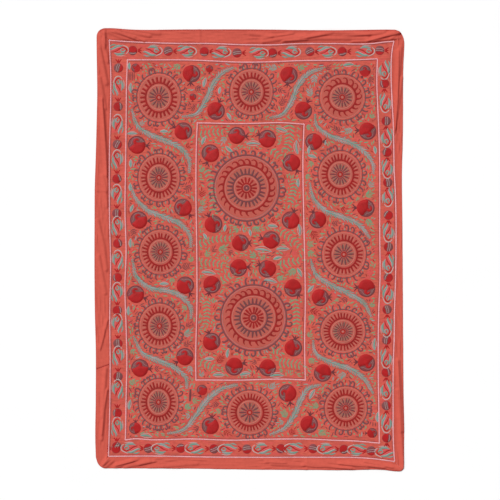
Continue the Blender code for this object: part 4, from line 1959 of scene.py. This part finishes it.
FERNS = rows_of(
    Fern,
    (-237, 552, -116, 572, 6, 26), (195, 605, 177, 475, 7, 30), (109, 484, 155, 438, 3, 24),
    (-204, 387, -178, 177, 10, 24), (221, 343, 195, 221, 7, 24), (-242, 30, -79, 56, 8, 24),
    (155, 87, 252, 8, 6, 26), (-237, -60, -118, -78, 6, 24), (148, -78, 252, -51, 5, 26),
    (217, -241, 226, -373, 7, 26), (-209, -250, -213, -373, 7, 24),
    (144, -550, 256, -563, 6, 28), (-237, -545, -162, -576, 4, 24),
    (115, -484, 151, -497, 2, 24), (-132, -151, -83, -122, 3, 24),
)


class Filling(NamedTuple):
    """A size of filling sprig: its pairs of leaflets, their length (mm), and the tries at it."""

    pairs: int
    length: float
    tries: int


FILLINGS = rows_of(
    Filling,
    (4, 24, 5000), (3, 22, 6000), (2, 20, 9000), (0, 24, 9000), (0, 17, 12000), (0, 12, 16000),
    (0, 8, 12000),
)


@dataclass
class Sprigs(Handwork):
    """Small leaves, ferns and the sprigs that fill the ground between the motifs."""

    room: float = 0.7
    widths: Sequence[float] = (9.0, 6.5, 8.0, 6.5, 6.0)
    stem_step: float = 9.0
    inner_middle: Sequence[float] = (6.0, -8.0)
    inner_half: Sequence[float] = (250.0, 615.0)
    inner_shares: Sequence[float] = (0.66, 0.78, 0.84, 0.92)
    outer_shares: Sequence[float] = (0.46, 0.74, 0.84, 0.92)
    lines: Sequence[tuple[Sides, float]] = ((MIDDLE_LINE, 7.0), (INNER_LINE, 9.0))
    shade_edgings: Sequence[tuple[Sides, float]] = ((SEAM, 10.0), (MIDDLE_LINE, 5.8), (INNER_LINE, 5.8))

    def __post_init__(self) -> None:
        """Starts a piece for each thread."""
        super().__post_init__()
        self.leaf = self.thread("small_leaves", Silk.AQUA)
        self.line = self.thread("small_leaf_outlines", Silk.LILAC)
        self.green = self.thread("sprigs", Silk.GREEN)
        self.rose = self.thread("small_roses", Silk.ROSE)
        self.red = self.thread("small_buds", Silk.RED)
        self.mauve = self.thread("small_stalks", Silk.MAUVE)

    def small_leaf(self, leaf: Leaf) -> None:
        """Works one outlined leaf."""
        spot = Spot(leaf.x, leaf.y, math.radians(leaf.turn_deg), leaf.length / 2, leaf.length / 2)
        middle = smooth_path([(-1, -0.06), (-0.3, 0.05), (0.4, 0.05), (1, -0.08)], 8)
        self.leaf.stroke(spot.at(middle), (4, 11, 12, 8, 3), 1.0)
        for side in (1, -1):
            edge = [
                (-0.95, 0.1 * side), (-0.3, 0.05 + 0.34 * side), (0.4, 0.05 + 0.32 * side), (1.05, -0.02),
            ]
            self.line.stroke(spot.at(smooth_path(edge, 8)), (1.6, 3.0, 3.0, 1.6), 0.85)

    def spray(self, stem: Array, pairs: int, length: float, spread: float) -> Leaflets:
        """Gives the leaflets of a sprig.

        Args:
            stem: Its stem (mm).
            pairs: How many pairs of leaflets it has.
            length: How long they are (mm).
            spread: How far they turn from the stem (radians).

        Returns:
            Each leaflet's root (mm), direction (radians) and length (mm).
        """
        heading = np.arctan2(*np.gradient(stem, axis=0).T[::-1])
        leaflets = [(stem[-1], heading[-1], length)]
        for number in range(pairs):
            for side in (1, -1):
                turn = heading[number] + side * spread * (1 + self.chance.normal(0, 0.08))
                reach = length * (1 - 0.25 * number / pairs) * (1 + self.chance.normal(0, 0.08))
                leaflets.append((stem[number], turn, reach))
        return leaflets

    def sew(self, work: Needlework, stem: Array, leaflets: Leaflets, width: float) -> None:
        """Works a sprig: its stem, if it has one, and its leaflets."""
        if len(leaflets) > 1:
            work.stroke(stem, (3.2, 2.6, 2.0), 0.7, slight=True)
        for (x, y), turn, length in leaflets:
            work.leaflet(x, y, turn, length, width * (1 + self.chance.normal(0, 0.08)))

    def scatter(self, filling: Filling) -> int:
        """Works filling sprigs of one size wherever the ground is bare.

        Args:
            filling: Their size.

        Returns:
            How many found room.
        """
        sewn = 0
        bare = np.argwhere(~self.ground.taken)
        for cell in bare[self.chance.integers(len(bare), size=filling.tries)]:
            root = self.ground.LOW + (cell + 0.5) * self.ground.CELL
            flow = 2.2 * math.sin(root[0] / 61) + 2.0 * math.sin(root[1] / 47 + 1.0)
            turn = flow + self.chance.normal(0, 0.4)
            bend = self.chance.normal(0, 0.09)
            turns = turn + bend * np.arange(filling.pairs + 1)
            steps = np.stack([np.cos(turns), np.sin(turns)], axis=1) * self.stem_step
            stem = root + np.concatenate([[[0, 0]], np.cumsum(steps, axis=0)])[: filling.pairs + 1]
            if filling.pairs:
                leaflets = self.spray(stem, filling.pairs, filling.length, 0.85)
            else:
                leaflets = [(root, turn, filling.length * self.chance.uniform(0.85, 1.15))]
            tips = [spot + np.array([math.cos(way), math.sin(way)]) * reach for spot, way, reach in leaflets]
            halves = [(spot + tip) / 2 for (spot, _, _), tip in zip(leaflets, tips)]
            if not self.ground.is_free(np.array([root, *tips, *halves]), self.room):
                continue
            off_x, off_y = np.abs(root - self.inner_middle)
            inner = off_x < self.inner_half[0] and off_y < self.inner_half[1]
            share = self.chance.random()
            shares = self.inner_shares if inner else self.outer_shares
            number = sum(share > limit for limit in shares)
            work = (self.green, self.mauve, self.leaf, self.rose, self.red)[number]
            self.sew(work, stem, leaflets, self.widths[number])
            sewn += 1
        return sewn

    def work(self) -> None:
        """Works the leaves, the ferns and then the filling, from large to small."""
        for sides, reach in self.lines:
            self.ground.mark(round_path(sides, 0.0), reach)
        for leaf in SMALL_LEAVES:
            self.small_leaf(leaf)
        for fern in FERNS:
            ends = np.array([(fern.x0, fern.y0), (fern.x1, fern.y1)], float)
            sag = 0.05 * (ends[1] - ends[0])[::-1] * (-1, 1)
            stem = smooth_path([ends[0], ends.mean(axis=0) + sag, ends[1]], fern.pairs + 1)
            self.sew(self.green, stem, self.spray(stem, fern.pairs, fern.length, 1.1), 11.0)
            between = (stem[1:] + stem[:-1]) / 2
            self.sew(self.rose, between, self.spray(between, fern.pairs - 1, fern.length * 0.9, 1.1), 6.0)
        for x in (-583, -575, -567, -559):
            self.mauve.stroke([(x, 822), (x, 843), (x, 862)], (3, 5, 3), 0.8)
        self.mauve.stroke([(-289, -734), (-287, -705), (-286, -676)], (8, 13, 8), 1.0)
        # A mauve thread edging inside each stitched line, which also stands in for the shade at the line's
        # side: partly real, partly painted shade.
        for sides, inset in self.shade_edgings:
            self.mauve.stroke(round_path(sides, inset), 3.2, 0.7, closed=True, slight=True)
        for filling in FILLINGS:
            LOG.info("filling of %d pairs: %d sewn", filling.pairs, self.scatter(filling))


@dataclass(frozen=True)
class Studio:
    """A pale floor, soft light from above and a camera that looks straight down."""

    floor_reach: float = 60.0
    floor_drop: float = 0.2 * MM
    lens: float = 85.0
    sensor: float = 36.0
    sky: float = 0.45
    sun: float = 2.75
    sun_softness_deg: float = 14.0
    sun_height_deg: float = 45.0
    sun_turn_deg: float = 40.0

    def floor(self) -> None:
        """Makes the floor, which isn't part of the object."""
        reach, low = self.floor_reach, -self.floor_drop
        corners = [(-reach, -reach, low), (reach, -reach, low), (reach, reach, low), (-reach, reach, low)]
        mesh = new_mesh("floor", corners, [(0, 1, 2, 3)])
        mesh.materials.append(FloorFinish().material())
        add_object("floor", mesh)

    def light(self) -> None:
        """Hangs one wide soft light, far off at the upper left."""
        lamp = bpy.data.lights.new("key_light", "SUN")
        lamp.energy = self.sun
        lamp.angle = math.radians(self.sun_softness_deg)
        tilt = math.radians(90 - self.sun_height_deg)
        add_object("key_light", lamp).rotation_euler = (tilt, 0.0, math.radians(180 + self.sun_turn_deg))

    def build(self) -> None:
        """Makes the floor, the lights and the camera at the photo's framing."""
        self.floor()
        world = bpy.data.worlds.new("studio")
        world.use_nodes = True
        backdrop = world.node_tree.nodes["Background"]
        backdrop.inputs["Color"].default_value = (1.0, 1.0, 1.0, 1.0)
        backdrop.inputs["Strength"].default_value = self.sky
        bpy.context.scene.world = world
        self.light()
        lens = bpy.data.cameras.new("camera")
        lens.lens = self.lens
        lens.sensor_width = self.sensor
        camera = add_object("camera", lens)
        middle = PHOTO_PIXELS / 2
        camera.location = (
            (middle - MIDDLE_PIXEL[0]) * METRES_PER_PIXEL,
            (MIDDLE_PIXEL[1] - middle) * METRES_PER_PIXEL,
            PHOTO_PIXELS * METRES_PER_PIXEL * self.lens / self.sensor,
        )
        bpy.context.scene.camera = camera
        bpy.context.scene.view_settings.view_transform = "Standard"


def write_sizes() -> None:
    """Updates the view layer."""
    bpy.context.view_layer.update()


def main() -> None:
    """Builds the cloth, its needlework and the studio, in that order."""
    logging.basicConfig(level=logging.INFO, format="%(name)s: %(message)s")
    drape, ground = Drape(), Ground()
    Studio().build()
    hems = ClothSheets(drape).build()
    StitchLines(drape).build(hems)
    for kind in (Wheels, Pomegranates, Garlands, BorderBand, Sprigs):
        kind(drape, ground).build()
    write_sizes()


if __name__ == "__main__":
    main()
